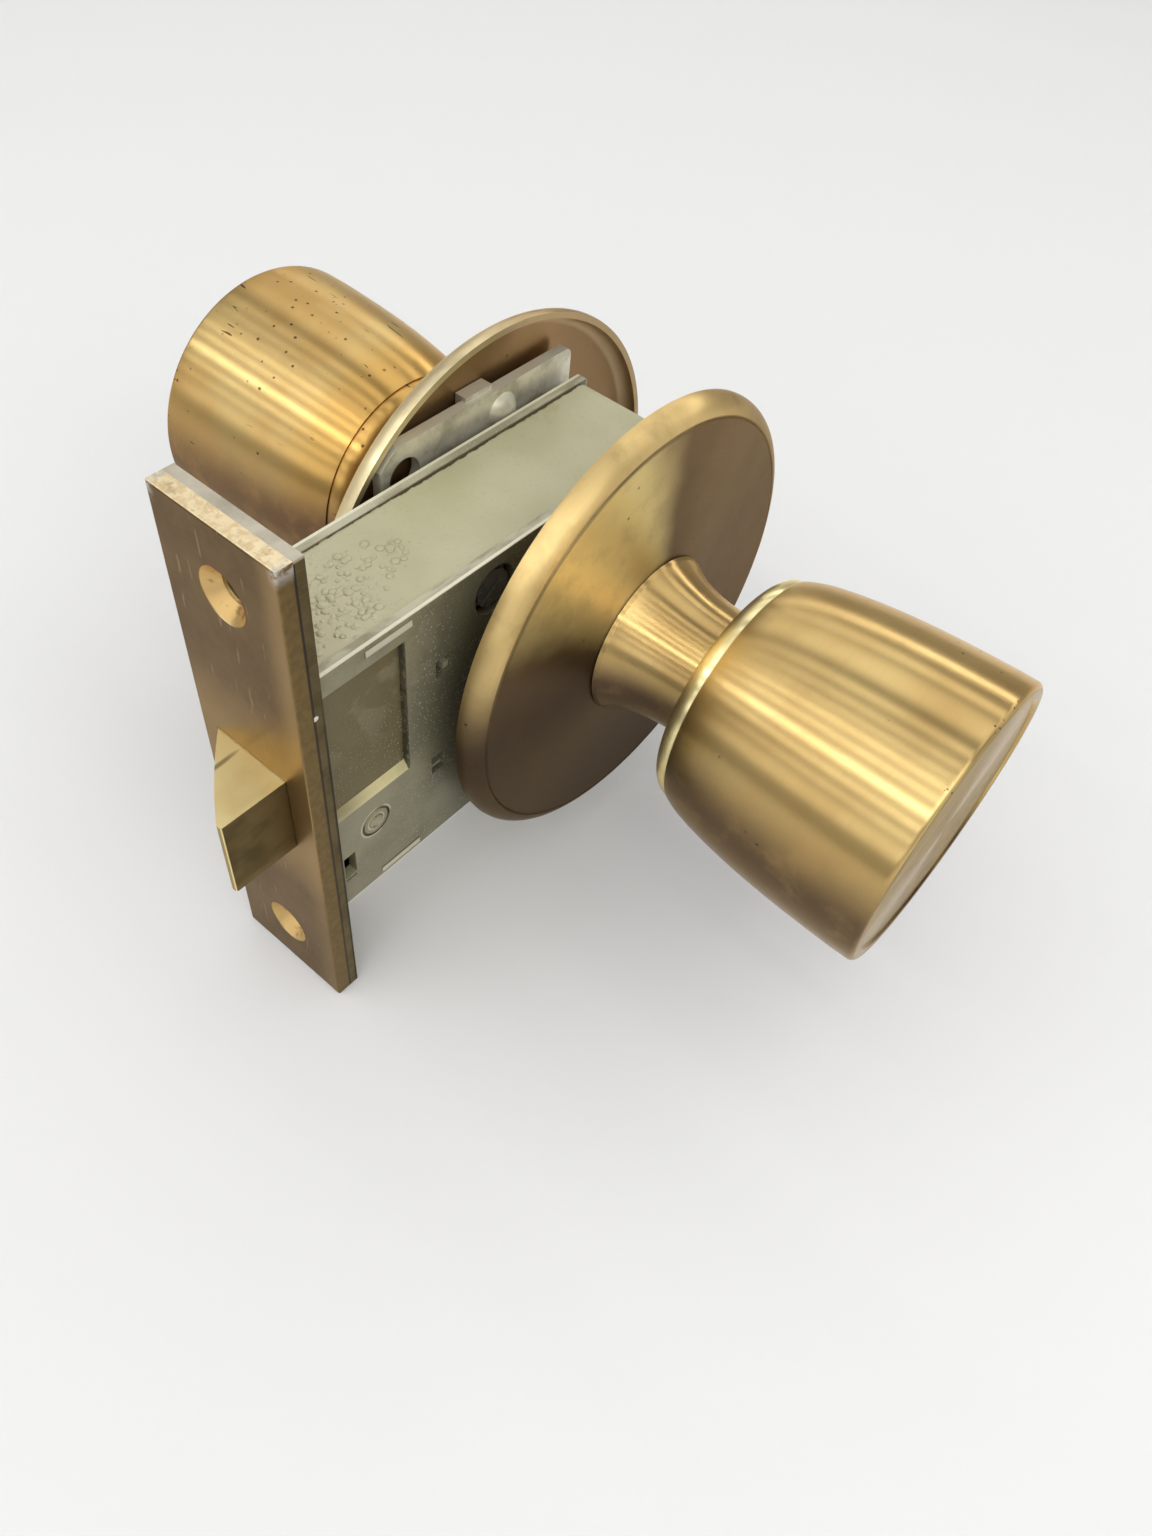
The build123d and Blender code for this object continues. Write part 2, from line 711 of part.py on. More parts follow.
# Square spindle from one knob to the other
front_spindle_end = front_knob_seam - 2.0
rear_spindle_end = rear_knob_seam - 2.0
with BuildPart() as spindle:
    with BuildSketch(side_plane(rear_spindle_end)):
        with Locations((axis_x, axis_z)):
            Rectangle(spindle_size, spindle_size)
    extrude(amount=front_spindle_end + rear_spindle_end)
    chamfer(spindle.faces().filter_by(Axis.Y).edges(), 0.6)
spindle.part.label = "spindle"
export_step(spindle.part, "parts/spindle.step")

# Front rose: rolled edge, fine crease and a slightly hollow face
front_rose_top = front_rose_mouth + rose_depth
with BuildPart() as front_rose:
    with BuildSketch(turning):
        with BuildLine():
            ThreePointArc(
                (-front_rose_mouth, rose_radius),
                (-front_rose_mouth - 0.55 * rose_roll_depth, rose_radius - 0.3),
                (-front_rose_mouth - rose_roll_depth, rose_face_radius + 0.6),
            )
            Line(
                (-front_rose_mouth - rose_roll_depth, rose_face_radius + 0.6),
                (-front_rose_mouth - rose_roll_depth + 0.25, rose_face_radius + 0.3),
            )
            Line(
                (-front_rose_mouth - rose_roll_depth + 0.25, rose_face_radius + 0.3),
                (-front_rose_mouth - rose_roll_depth - 0.05, rose_face_radius),
            )
            ThreePointArc(
                (-front_rose_mouth - rose_roll_depth - 0.05, rose_face_radius),
                (-front_rose_mouth - rose_roll_depth - 0.55, 0.5 * (rose_face_radius + rose_hub_radius)),
                (-front_rose_top, rose_hub_radius),
            )
            Line((-front_rose_top, rose_hub_radius), (-front_rose_top, rose_hole_radius))
            Line(
                (-front_rose_top, rose_hole_radius),
                (-front_rose_top + rose_thickness, rose_hole_radius),
            )
            Line(
                (-front_rose_top + rose_thickness, rose_hole_radius),
                (-front_rose_top + rose_thickness, rose_hub_radius),
            )
            ThreePointArc(
                (-front_rose_top + rose_thickness, rose_hub_radius),
                (
                    -front_rose_mouth - rose_roll_depth - 0.55 + rose_thickness,
                    0.5 * (rose_face_radius + rose_hub_radius),
                ),
                (-front_rose_mouth - rose_roll_depth + rose_thickness, rose_face_radius),
            )
            ThreePointArc(
                (-front_rose_mouth - rose_roll_depth + rose_thickness, rose_face_radius),
                (-front_rose_mouth - 0.4 * rose_roll_depth, rose_radius - 0.2 - rose_thickness),
                (-front_rose_mouth, rose_radius - rose_thickness),
            )
            Line((-front_rose_mouth, rose_radius - rose_thickness), (-front_rose_mouth, rose_radius))
        make_face()
    revolve(axis=knob_axis)
front_rose.part.label = "front_rose"
export_step(front_rose.part, "parts/front_rose.step")

# Rear rose: the same dish facing the other way
rear_rose_top = rear_rose_mouth + rose_depth
with BuildPart() as rear_rose:
    mirror(front_rose.part, about=side_plane((rear_rose_mouth - front_rose_mouth) / 2))
rear_rose.part.label = "rear_rose"
export_step(rear_rose.part, "parts/rear_rose.step")

# Collars on the case: flange, sleeve up to the rose, and the bearing of the shank
front_collar_end = front_rose_top - rose_thickness
with BuildPart() as front_collar:
    with BuildSketch(turning):
        with BuildLine():
            Polyline(
                (-case_half_width, shank_barrel_radius + collar_clearance),
                (-case_half_width, collar_flange_radius),
                (-collar_face, collar_flange_radius),
                (-collar_face, collar_sleeve_radius),
                (-front_collar_end, collar_sleeve_radius),
                (-front_collar_end, shank_barrel_radius + collar_clearance),
                close=True,
            )
        make_face()
    revolve(axis=knob_axis)
front_collar.part.label = "front_collar"
export_step(front_collar.part, "parts/front_collar.step")

rear_collar_end = rear_rose_top - rose_thickness
with BuildPart() as rear_collar:
    with BuildSketch(turning):
        with BuildLine():
            Polyline(
                (case_half_width, shank_barrel_radius + collar_clearance),
                (case_half_width, collar_flange_radius),
                (collar_face, collar_flange_radius),
                (collar_face, collar_sleeve_radius),
                (rear_collar_end, collar_sleeve_radius),
                (rear_collar_end, shank_barrel_radius + collar_clearance),
                close=True,
            )
        make_face()
    revolve(axis=knob_axis)
rear_collar.part.label = "rear_collar"
export_step(rear_collar.part, "parts/rear_collar.step")

# Front mounting plate: a round plate on the collar's flange
with BuildPart() as front_mounting_plate:
    with BuildSketch(side_plane(-collar_face)):
        with Locations((axis_x, axis_z)):
            Circle(front_plate_radius)
            Circle(collar_sleeve_radius + plate_hole_fit, mode=Mode.SUBTRACT)
        with Locations(
            (axis_x, axis_z + front_plate_rivet_offset), (axis_x, axis_z - front_plate_rivet_offset)
        ):
            Circle(plate_rivet_radius + hole_fit, mode=Mode.SUBTRACT)
    extrude(amount=plate_thickness)
front_mounting_plate.part.label = "front_mounting_plate"
export_step(front_mounting_plate.part, "parts/front_mounting_plate.step")

# Rear mounting plate: a strap seen above the case inside the rear rose
rear_plate_middle = (rear_plate_front + rear_plate_rear) / 2
with BuildPart() as rear_mounting_plate:
    with BuildSketch(side_plane(plate_face)):
        with Locations((rear_plate_middle, axis_z)):
            RectangleRounded(
                rear_plate_rear - rear_plate_front, 2 * rear_plate_half_height, rear_plate_corner
            )
        with Locations((axis_x, axis_z)):
            Circle(rose_radius - rose_thickness - rear_plate_margin, mode=Mode.INTERSECT)
        with Locations((axis_x, axis_z)):
            Circle(collar_sleeve_radius + plate_hole_fit, mode=Mode.SUBTRACT)
        with Locations(
            (axis_x, axis_z + rear_plate_rivet_offset), (axis_x, axis_z - rear_plate_rivet_offset)
        ):
            Circle(plate_rivet_radius + hole_fit, mode=Mode.SUBTRACT)
        with Locations(
            (rear_plate_hole_x, axis_z + rear_plate_hole_offset),
            (rear_plate_hole_x, axis_z - rear_plate_hole_offset),
        ):
            Circle(rear_plate_hole_radius, mode=Mode.SUBTRACT)
    extrude(amount=plate_thickness)
    with BuildSketch(side_plane(plate_face + rear_tab_reach)):
        with Locations((rear_tab_x, axis_z + rear_plate_half_height - plate_thickness / 2 + rear_tab_rise)):
            Rectangle(rear_tab_width, plate_thickness)
    extrude(amount=rear_tab_reach + plate_thickness / 2)
rear_mounting_plate.part.label = "rear_mounting_plate"
export_step(rear_mounting_plate.part, "parts/rear_mounting_plate.step")


def rose_inside(radius):
    # Depth of the rose's inner face below its mouth at a radius on the hollow face
    outer = rose_roll_depth - rose_thickness
    middle = rose_roll_depth + 0.55 - rose_thickness
    inner = rose_depth - rose_thickness
    share = (rose_face_radius - radius) / (rose_face_radius - rose_hub_radius)
    return outer + share * (4 * middle - 3 * outer - inner) + share**2 * (2 * inner + 2 * outer - 4 * middle)


# Rivets with domed heads that carry each rose on its mounting plate
front_rivet_end = front_rose_mouth + rose_inside(front_plate_rivet_offset + plate_rivet_radius) - 0.1
with BuildPart() as front_plate_rivets:
    for rivet_z in (axis_z + front_plate_rivet_offset, axis_z - front_plate_rivet_offset):
        with BuildSketch(side_plane(-collar_face)):
            with Locations((axis_x, rivet_z)):
                Circle(plate_rivet_radius)
        extrude(amount=front_rivet_end - collar_face)
        with BuildSketch(side_plane(-collar_face)):
            with Locations((axis_x, rivet_z)):
                Circle(plate_rivet_head_radius - 0.7)
        extrude(amount=-plate_rivet_head_height, taper=20)
front_plate_rivets.part.label = "front_plate_rivets"
export_step(front_plate_rivets.part, "parts/front_plate_rivets.step")

rear_rivet_end = rear_rose_mouth + rose_inside(rear_plate_rivet_offset + plate_rivet_radius) - 0.1
dome_radius = (plate_rivet_head_radius**2 + plate_rivet_head_height**2) / (2 * plate_rivet_head_height)
with BuildPart() as rear_plate_rivets:
    for rivet_z in (axis_z + rear_plate_rivet_offset, axis_z - rear_plate_rivet_offset):
        with BuildSketch(Plane.XY.offset(rivet_z)):
            with BuildLine():
                Polyline(
                    (axis_x, collar_face - plate_rivet_head_height),
                    (axis_x, rear_rivet_end),
                    (axis_x + plate_rivet_radius, rear_rivet_end),
                    (axis_x + plate_rivet_radius, collar_face),
                    (axis_x + plate_rivet_head_radius, collar_face),
                )
                RadiusArc(
                    (axis_x + plate_rivet_head_radius, collar_face),
                    (axis_x, collar_face - plate_rivet_head_height),
                    dome_radius,
                )
            make_face()
        revolve(axis=Axis((axis_x, 0, rivet_z), (0, 1, 0)))
rear_plate_rivets.part.label = "rear_plate_rivets"
export_step(rear_plate_rivets.part, "parts/rear_plate_rivets.step")

# Front knob shell: a drawn cup that swells towards its recessed end face
shell_mouth = front_knob_seam + seam_gap
shell_end = front_knob_seam + knob_length
shell_rim = knob_end_radius - knob_edge_radius
with BuildPart() as front_knob_shell:
    with BuildSketch(turning):
        with BuildLine():
            Spline(
                (-shell_mouth, knob_seam_radius),
                (-shell_mouth - knob_shoulder_depth, knob_shoulder_radius),
                (-shell_end + knob_end_band, knob_end_radius),
                tangents=((-1, 0.5), (-1, 0.03)),
            )
            Line((-shell_end + knob_end_band, knob_end_radius), (-shell_end + knob_edge_radius, knob_end_radius))
            RadiusArc(
                (-shell_end + knob_edge_radius, knob_end_radius), (-shell_end, shell_rim), -knob_edge_radius
            )
            Line((-shell_end, shell_rim), (-shell_end, shell_rim - knob_rim_width))
            Line(
                (-shell_end, shell_rim - knob_rim_width),
                (-shell_end + knob_face_recess, shell_rim - knob_rim_width - knob_face_recess),
            )
            Line(
                (-shell_end + knob_face_recess, shell_rim - knob_rim_width - knob_face_recess),
                (-shell_end + knob_face_recess, 0),
            )
            Line((-shell_end + knob_face_recess, 0), (-shell_end + knob_face_recess + knob_wall, 0))
            Line(
                (-shell_end + knob_face_recess + knob_wall, 0),
                (-shell_end + knob_face_recess + knob_wall, knob_end_radius - knob_wall),
            )
            Line(
                (-shell_end + knob_face_recess + knob_wall, knob_end_radius - knob_wall),
                (-shell_end + knob_end_band, knob_end_radius - knob_wall),
            )
            Spline(
                (-shell_end + knob_end_band, knob_end_radius - knob_wall),
                (-shell_mouth - knob_shoulder_depth, knob_shoulder_radius - knob_wall),
                (-shell_mouth, knob_seam_radius - knob_wall),
                tangents=((1, -0.03), (1, -0.5)),
            )
            Line((-shell_mouth, knob_seam_radius - knob_wall), (-shell_mouth, knob_seam_radius))
        make_face()
    revolve(axis=knob_axis)
front_knob_shell.part.label = "front_knob_shell"
export_step(front_knob_shell.part, "parts/front_knob_shell.step")

# Rear knob shell
with BuildPart() as rear_knob_shell:
    mirror(front_knob_shell.part, about=side_plane((rear_knob_seam - front_knob_seam) / 2))
rear_knob_shell.part.label = "rear_knob_shell"
export_step(rear_knob_shell.part, "parts/rear_knob_shell.step")

# Front knob back: a disc out to a rounded bead at the seam, with a lip inside the shell
back_start = front_knob_seam - knob_back_depth
bead_start = front_knob_seam - knob_bead_width
lip_radius = knob_seam_radius - knob_wall - hole_fit
with BuildPart() as front_knob_back:
    with BuildSketch(turning):
        with BuildLine():
            Line((-back_start, shank_radius + hole_fit), (-back_start, shank_radius + 0.6))
            Line((-back_start, shank_radius + 0.6), (-bead_start, knob_back_radius - knob_bead_drop))
            ThreePointArc(
                (-bead_start, knob_back_radius - knob_bead_drop),
                (-front_knob_seam + 0.68 * knob_bead_width, knob_back_radius - 0.27 * knob_bead_drop),
                (-front_knob_seam + seam_gap, knob_back_radius),
            )
            Line((-front_knob_seam + seam_gap, knob_back_radius), (-front_knob_seam, knob_back_radius - seam_gap))
            Line((-front_knob_seam, knob_back_radius - seam_gap), (-front_knob_seam, lip_radius))
            Line((-front_knob_seam, lip_radius), (-front_knob_seam - knob_back_lip, lip_radius))
            Line(
                (-front_knob_seam - knob_back_lip, lip_radius),
                (-front_knob_seam - knob_back_lip, lip_radius - knob_back_wall),
            )
            Polyline(
                (-front_knob_seam - knob_back_lip, lip_radius - knob_back_wall),
                (-bead_start - 1.2 * knob_back_wall, lip_radius - 2 * knob_back_wall),
                (-back_start - knob_back_wall, shank_radius + hole_fit),
            )
            Line((-back_start - knob_back_wall, shank_radius + hole_fit), (-back_start, shank_radius + hole_fit))
        make_face()
    revolve(axis=knob_axis)
front_knob_back.part.label = "front_knob_back"
export_step(front_knob_back.part, "parts/front_knob_back.step")

# Rear knob back
with BuildPart() as rear_knob_back:
    mirror(front_knob_back.part, about=side_plane((rear_knob_seam - front_knob_seam) / 2))
rear_knob_back.part.label = "rear_knob_back"
export_step(rear_knob_back.part, "parts/rear_knob_back.step")

# Front shank: flared foot over the rose, barrel in the collar and a square bore for the spindle
barrel_end = case_half_width + 2 * hub_end_play
front_foot = front_rose_top + shank_foot_gap
front_neck = back_start - front_foot - shank_foot_height
front_set_y = front_foot + 0.55 * (back_start - front_foot)
flare = shank_foot_radius - 0.3 - shank_radius
with BuildPart() as front_knob_shank:
    with BuildSketch(turning):
        with BuildLine():
            Polyline(
                (-barrel_end, 0),
                (-barrel_end, shank_barrel_radius),
                (-front_foot, shank_barrel_radius),
                (-front_foot, shank_foot_radius),
                (-front_foot - shank_foot_height, shank_foot_radius - 0.3),
            )
            Spline(
                (-front_foot - shank_foot_height, shank_foot_radius - 0.3),
                (-front_foot - shank_foot_height - 0.2 * front_neck, shank_radius + 0.50 * flare),
                (-front_foot - shank_foot_height - 0.45 * front_neck, shank_radius + 0.18 * flare),
                (-front_foot - shank_foot_height - 0.75 * front_neck, shank_radius + 0.02 * flare),
                (-back_start, shank_radius),
            )
            Polyline(
                (-back_start, shank_radius),
                (-front_knob_seam - shank_inside_length, shank_radius),
                (-front_knob_seam - shank_inside_length, 0),
                (-barrel_end, 0),
            )
        make_face()
    revolve(axis=knob_axis)
    with BuildSketch(side_plane(-barrel_end)):
        with Locations((axis_x, axis_z)):
            Rectangle(spindle_size + 2 * spindle_clearance, spindle_size + 2 * spindle_clearance)
    extrude(amount=front_spindle_end + spindle_clearance - barrel_end, mode=Mode.SUBTRACT)
    with BuildSketch(Plane(origin=(axis_x, -front_set_y, axis_z), x_dir=(1, 0, 0), z_dir=(0, 0, -1))):
        Circle(set_screw_radius + hole_fit)
    extrude(amount=shank_foot_radius, mode=Mode.SUBTRACT)
front_knob_shank.part.label = "front_knob_shank"
export_step(front_knob_shank.part, "parts/front_knob_shank.step")

# Rear shank: the same turning, shorter in the neck because the rear knob sits closer to its rose
rear_back_start = rear_knob_seam - knob_back_depth
rear_foot = rear_rose_top + shank_foot_gap
rear_neck = rear_back_start - rear_foot - shank_foot_height
rear_set_y = rear_foot + 0.55 * (rear_back_start - rear_foot)
with BuildPart() as rear_knob_shank:
    with BuildSketch(turning):
        with BuildLine():
            Polyline(
                (barrel_end, 0),
                (barrel_end, shank_barrel_radius),
                (rear_foot, shank_barrel_radius),
                (rear_foot, shank_foot_radius),
                (rear_foot + shank_foot_height, shank_foot_radius - 0.3),
            )
            Spline(
                (rear_foot + shank_foot_height, shank_foot_radius - 0.3),
                (rear_foot + shank_foot_height + 0.2 * rear_neck, shank_radius + 0.50 * flare),
                (rear_foot + shank_foot_height + 0.45 * rear_neck, shank_radius + 0.18 * flare),
                (rear_foot + shank_foot_height + 0.75 * rear_neck, shank_radius + 0.02 * flare),
                (rear_back_start, shank_radius),
            )
            Polyline(
                (rear_back_start, shank_radius),
                (rear_knob_seam + shank_inside_length, shank_radius),
                (rear_knob_seam + shank_inside_length, 0),
                (barrel_end, 0),
            )
        make_face()
    revolve(axis=knob_axis)
    with BuildSketch(side_plane(rear_spindle_end + spindle_clearance)):
        with Locations((axis_x, axis_z)):
            Rectangle(spindle_size + 2 * spindle_clearance, spindle_size + 2 * spindle_clearance)
    extrude(amount=rear_spindle_end + spindle_clearance - barrel_end, mode=Mode.SUBTRACT)
    with BuildSketch(Plane(origin=(axis_x, rear_set_y, axis_z), x_dir=(1, 0, 0), z_dir=(0, 0, -1))):
        Circle(set_screw_radius + hole_fit)
    extrude(amount=shank_foot_radius, mode=Mode.SUBTRACT)
rear_knob_shank.part.label = "rear_knob_shank"
export_step(rear_knob_shank.part, "parts/rear_knob_shank.step")

# Set screws that pin both shanks on the spindle
set_screw_top = axis_z - spindle_size / 2 - spindle_clearance
with BuildPart() as knob_set_screws:
    for screw_y in (-front_set_y, rear_set_y):
        with BuildSketch(Plane(origin=(axis_x, screw_y, set_screw_top), x_dir=(1, 0, 0), z_dir=(0, 0, -1))):
            Circle(set_screw_radius)
        extrude(amount=set_screw_length)
        with BuildSketch(
            Plane(origin=(axis_x, screw_y, set_screw_top - set_screw_length), x_dir=(1, 0, 0), z_dir=(0, 0, 1))
        ):
            Rectangle(2 * set_screw_radius, 0.6)
        extrude(amount=0.8, mode=Mode.SUBTRACT)
knob_set_screws.part.label = "knob_set_screws"
export_step(knob_set_screws.part, "parts/knob_set_screws.step")
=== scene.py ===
import math

import bpy
from mathutils import Matrix, Vector


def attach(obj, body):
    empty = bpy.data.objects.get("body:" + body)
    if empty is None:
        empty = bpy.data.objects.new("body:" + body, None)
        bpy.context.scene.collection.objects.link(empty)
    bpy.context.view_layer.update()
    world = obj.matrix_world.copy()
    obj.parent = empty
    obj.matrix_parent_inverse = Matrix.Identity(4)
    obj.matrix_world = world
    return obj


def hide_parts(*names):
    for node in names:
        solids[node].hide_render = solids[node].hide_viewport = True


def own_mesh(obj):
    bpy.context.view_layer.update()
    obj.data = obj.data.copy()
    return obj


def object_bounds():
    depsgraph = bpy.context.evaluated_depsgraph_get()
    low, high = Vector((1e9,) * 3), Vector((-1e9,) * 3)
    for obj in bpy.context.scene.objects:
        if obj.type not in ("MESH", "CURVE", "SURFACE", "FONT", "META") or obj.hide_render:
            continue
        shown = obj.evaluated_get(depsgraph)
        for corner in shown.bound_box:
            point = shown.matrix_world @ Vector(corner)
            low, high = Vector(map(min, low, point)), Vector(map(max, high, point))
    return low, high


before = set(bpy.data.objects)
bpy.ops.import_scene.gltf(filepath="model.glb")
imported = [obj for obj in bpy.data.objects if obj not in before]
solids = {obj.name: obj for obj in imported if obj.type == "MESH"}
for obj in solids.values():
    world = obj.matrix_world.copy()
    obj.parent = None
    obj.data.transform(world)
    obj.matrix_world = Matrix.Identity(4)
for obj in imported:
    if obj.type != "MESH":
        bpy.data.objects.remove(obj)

cad_low, cad_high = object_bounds()
mm = 0.001

# Sizes that the scene shares with the solids, in millimetres. X runs into the door, Y along the
# knob axis with the front knob at minus Y, and Z up.
front_face = -4.8
front_half_width = 12.7
front_half_height = 54.0
layer_seam = -1.9
screw_offset = 41.6
sink_radius = 4.8
latch_z = -0.9
latch_flat_side = -7.3
latch_bottom = -9.4
case_rear = 85.5
case_half_height = 29.5
case_half_width = 11.8
plate_inside = 9.9
band_top = 30.1
panel_rear = 16.8
panel_bottom = -4.4
panel_top = 26.0
rivet_x, rivet_z = 8.7, -11.5
axis_x = 66.8
axis_z = 1.0
rose_radius = 44.6
rose_wall = 1.2
rose_roll = 4.2
rose_face_radius = 41.2
rose_depth = 5.9
rose_foot_radius = 16.5
rose_bore_radius = 10.2
front_rose_mouth = -17.5
rear_rose_mouth = 14.5
front_seam = -45.6
rear_seam = 38.0
knob_length = 42.1
knob_seam_radius = 22.9
knob_shoulder_depth = 7.0
knob_shoulder_radius = 25.0
knob_end_band = 5.0
knob_end_radius = 27.6
knob_wall = 1.5
knob_edge = 1.2
knob_recess = 0.4
knob_rim = 1.5
knob_rim_radius = knob_end_radius - knob_edge
bead_width = 3.4

# Camera at the photograph's place: the turn is an axis times an angle, the eye is in millimetres
# from the middle of the front's outer face, and the lens is in pixels of the photograph's height
view_turn = Vector((2.3017457563053103, -1.0266807578812402, 0.4680517550795685))
look = Matrix.Rotation(view_turn.length, 3, view_turn.normalized())
eye = Vector((-64.63951453 + front_face, -105.08926045, 154.13864134)) * mm
photo_height, lens_in_pixels = 1536.0, 1180.04
camera_data = bpy.data.cameras.new("camera")
camera_data.sensor_width = 36.0
camera_data.lens = camera_data.sensor_width * lens_in_pixels / photo_height
camera_data.clip_start = 0.005
camera_data.clip_end = 20.0
camera = bpy.data.objects.new("camera", camera_data)
bpy.context.scene.collection.objects.link(camera)
camera.matrix_world = (
    Matrix.Translation(eye) @ Matrix((look[0], -look[1], -look[2])).transposed().to_4x4())
bpy.context.scene.camera = camera


class NodeMaker:
    """Short ways to add nodes to a tree and to join them. A colour is (red, green, blue)."""

    def __init__(self, tree):
        self.nodes = tree.nodes
        self.links = tree.links

    def put(self, value, socket):
        if isinstance(value, bpy.types.NodeSocket):
            self.links.new(value, socket)
        elif socket.type == "RGBA":
            socket.default_value = (*value, 1)
        else:
            socket.default_value = value

    def add(self, kind, values=None, **settings):
        node = self.nodes.new(kind)
        for key, value in settings.items():
            setattr(node, key, value)
        for key, value in (values or {}).items():
            self.put(value, node.inputs[key])
        return node

    def work(self, kind, first, second=0.0):
        return self.add("ShaderNodeMath", {0: first, 1: second}, operation=kind).outputs[0]

    def plus(self, first, second):
        return self.work("ADD", first, second)

    def less(self, first, second):
        return self.work("SUBTRACT", first, second)

    def times(self, first, *others):
        for other in others:
            first = self.work("MULTIPLY", first, other)
        return first

    def most(self, first, second):
        return self.work("MAXIMUM", first, second)

    def either_way(self, value):
        return self.work("ABSOLUTE", value)

    def split(self, vector):
        node = self.add("ShaderNodeSeparateXYZ", {0: vector})
        return node.outputs[0], node.outputs[1], node.outputs[2]

    def join(self, x, y, z):
        return self.add("ShaderNodeCombineXYZ", {0: x, 1: y, 2: z}).outputs[0]


class Finish(NodeMaker):
    """A material whose patterns lie on the piece's own coordinates."""

    def __init__(self, name):
        self.material = bpy.data.materials.new(name)
        self.material.use_nodes = True
        super().__init__(self.material.node_tree)
        self.nodes.clear()
        self.shader = self.add("ShaderNodeBsdfPrincipled")
        self.add("ShaderNodeOutputMaterial", {0: self.shader.outputs[0]})
        spot = self.add("ShaderNodeTexCoord")
        self.place = spot.outputs["Object"]
        self.normal = spot.outputs["Normal"]

    def step(self, value, low, high, to_low=0.0, to_high=1.0):
        """Goes softly from to_low to to_high as the value goes from low to high."""
        node = self.add("ShaderNodeMapRange", interpolation_type="SMOOTHSTEP")
        for key, item in enumerate((value, low, high, to_low, to_high)):
            self.put(item, node.inputs[key])
        return node.outputs[0]

    def past(self, value, low, high, to_low=0.0, to_high=1.0):
        """A step between two places given in millimetres."""
        return self.step(value, low * mm, high * mm, to_low, to_high)

    def blend(self, share, first, second):
        node = self.add("ShaderNodeMix", data_type="RGBA")
        for key, item in ((0, share), (6, first), (7, second)):
            self.put(item, node.inputs[key])
        return node.outputs[2]

    def stretch(self, vector, amounts):
        node = self.add("ShaderNodeVectorMath", {0: vector, 1: amounts}, operation="MULTIPLY")
        return node.outputs[0]

    def distance(self, vector, point):
        """How far the surface lies from a point given in millimetres."""
        point = tuple(part * mm for part in point)
        node = self.add("ShaderNodeVectorMath", {0: vector, 1: point}, operation="DISTANCE")
        return node.outputs["Value"]

    def noise(self, scale, detail=3.0, rough=0.5, place=None, stretch=None):
        place = place or self.place
        if stretch:
            place = self.stretch(place, stretch)
        values = {"Vector": place, "Scale": scale, "Detail": detail, "Roughness": rough}
        return self.add("ShaderNodeTexNoise", values).outputs[0]

    def ragged(self, value, noise, amount):
        """The value, pushed to and fro by a noise."""
        return self.plus(value, self.times(self.less(noise, 0.5), amount))

    def spots(self, scale, size):
        """1 inside small round spots, one to a cell."""
        node = self.add("ShaderNodeTexVoronoi", {"Vector": self.place, "Scale": scale})
        return self.step(node.outputs["Distance"], size, size * 0.6)

    def bump(self, height, distance):
        node = self.add("ShaderNodeBump", {"Height": height, "Distance": distance, "Strength": 1.0})
        self.links.new(node.outputs[0], self.shader.inputs["Normal"])

    def set(self, **values):
        for key, value in values.items():
            self.put(value, self.shader.inputs[key.replace("_", " ")])
        return self.material


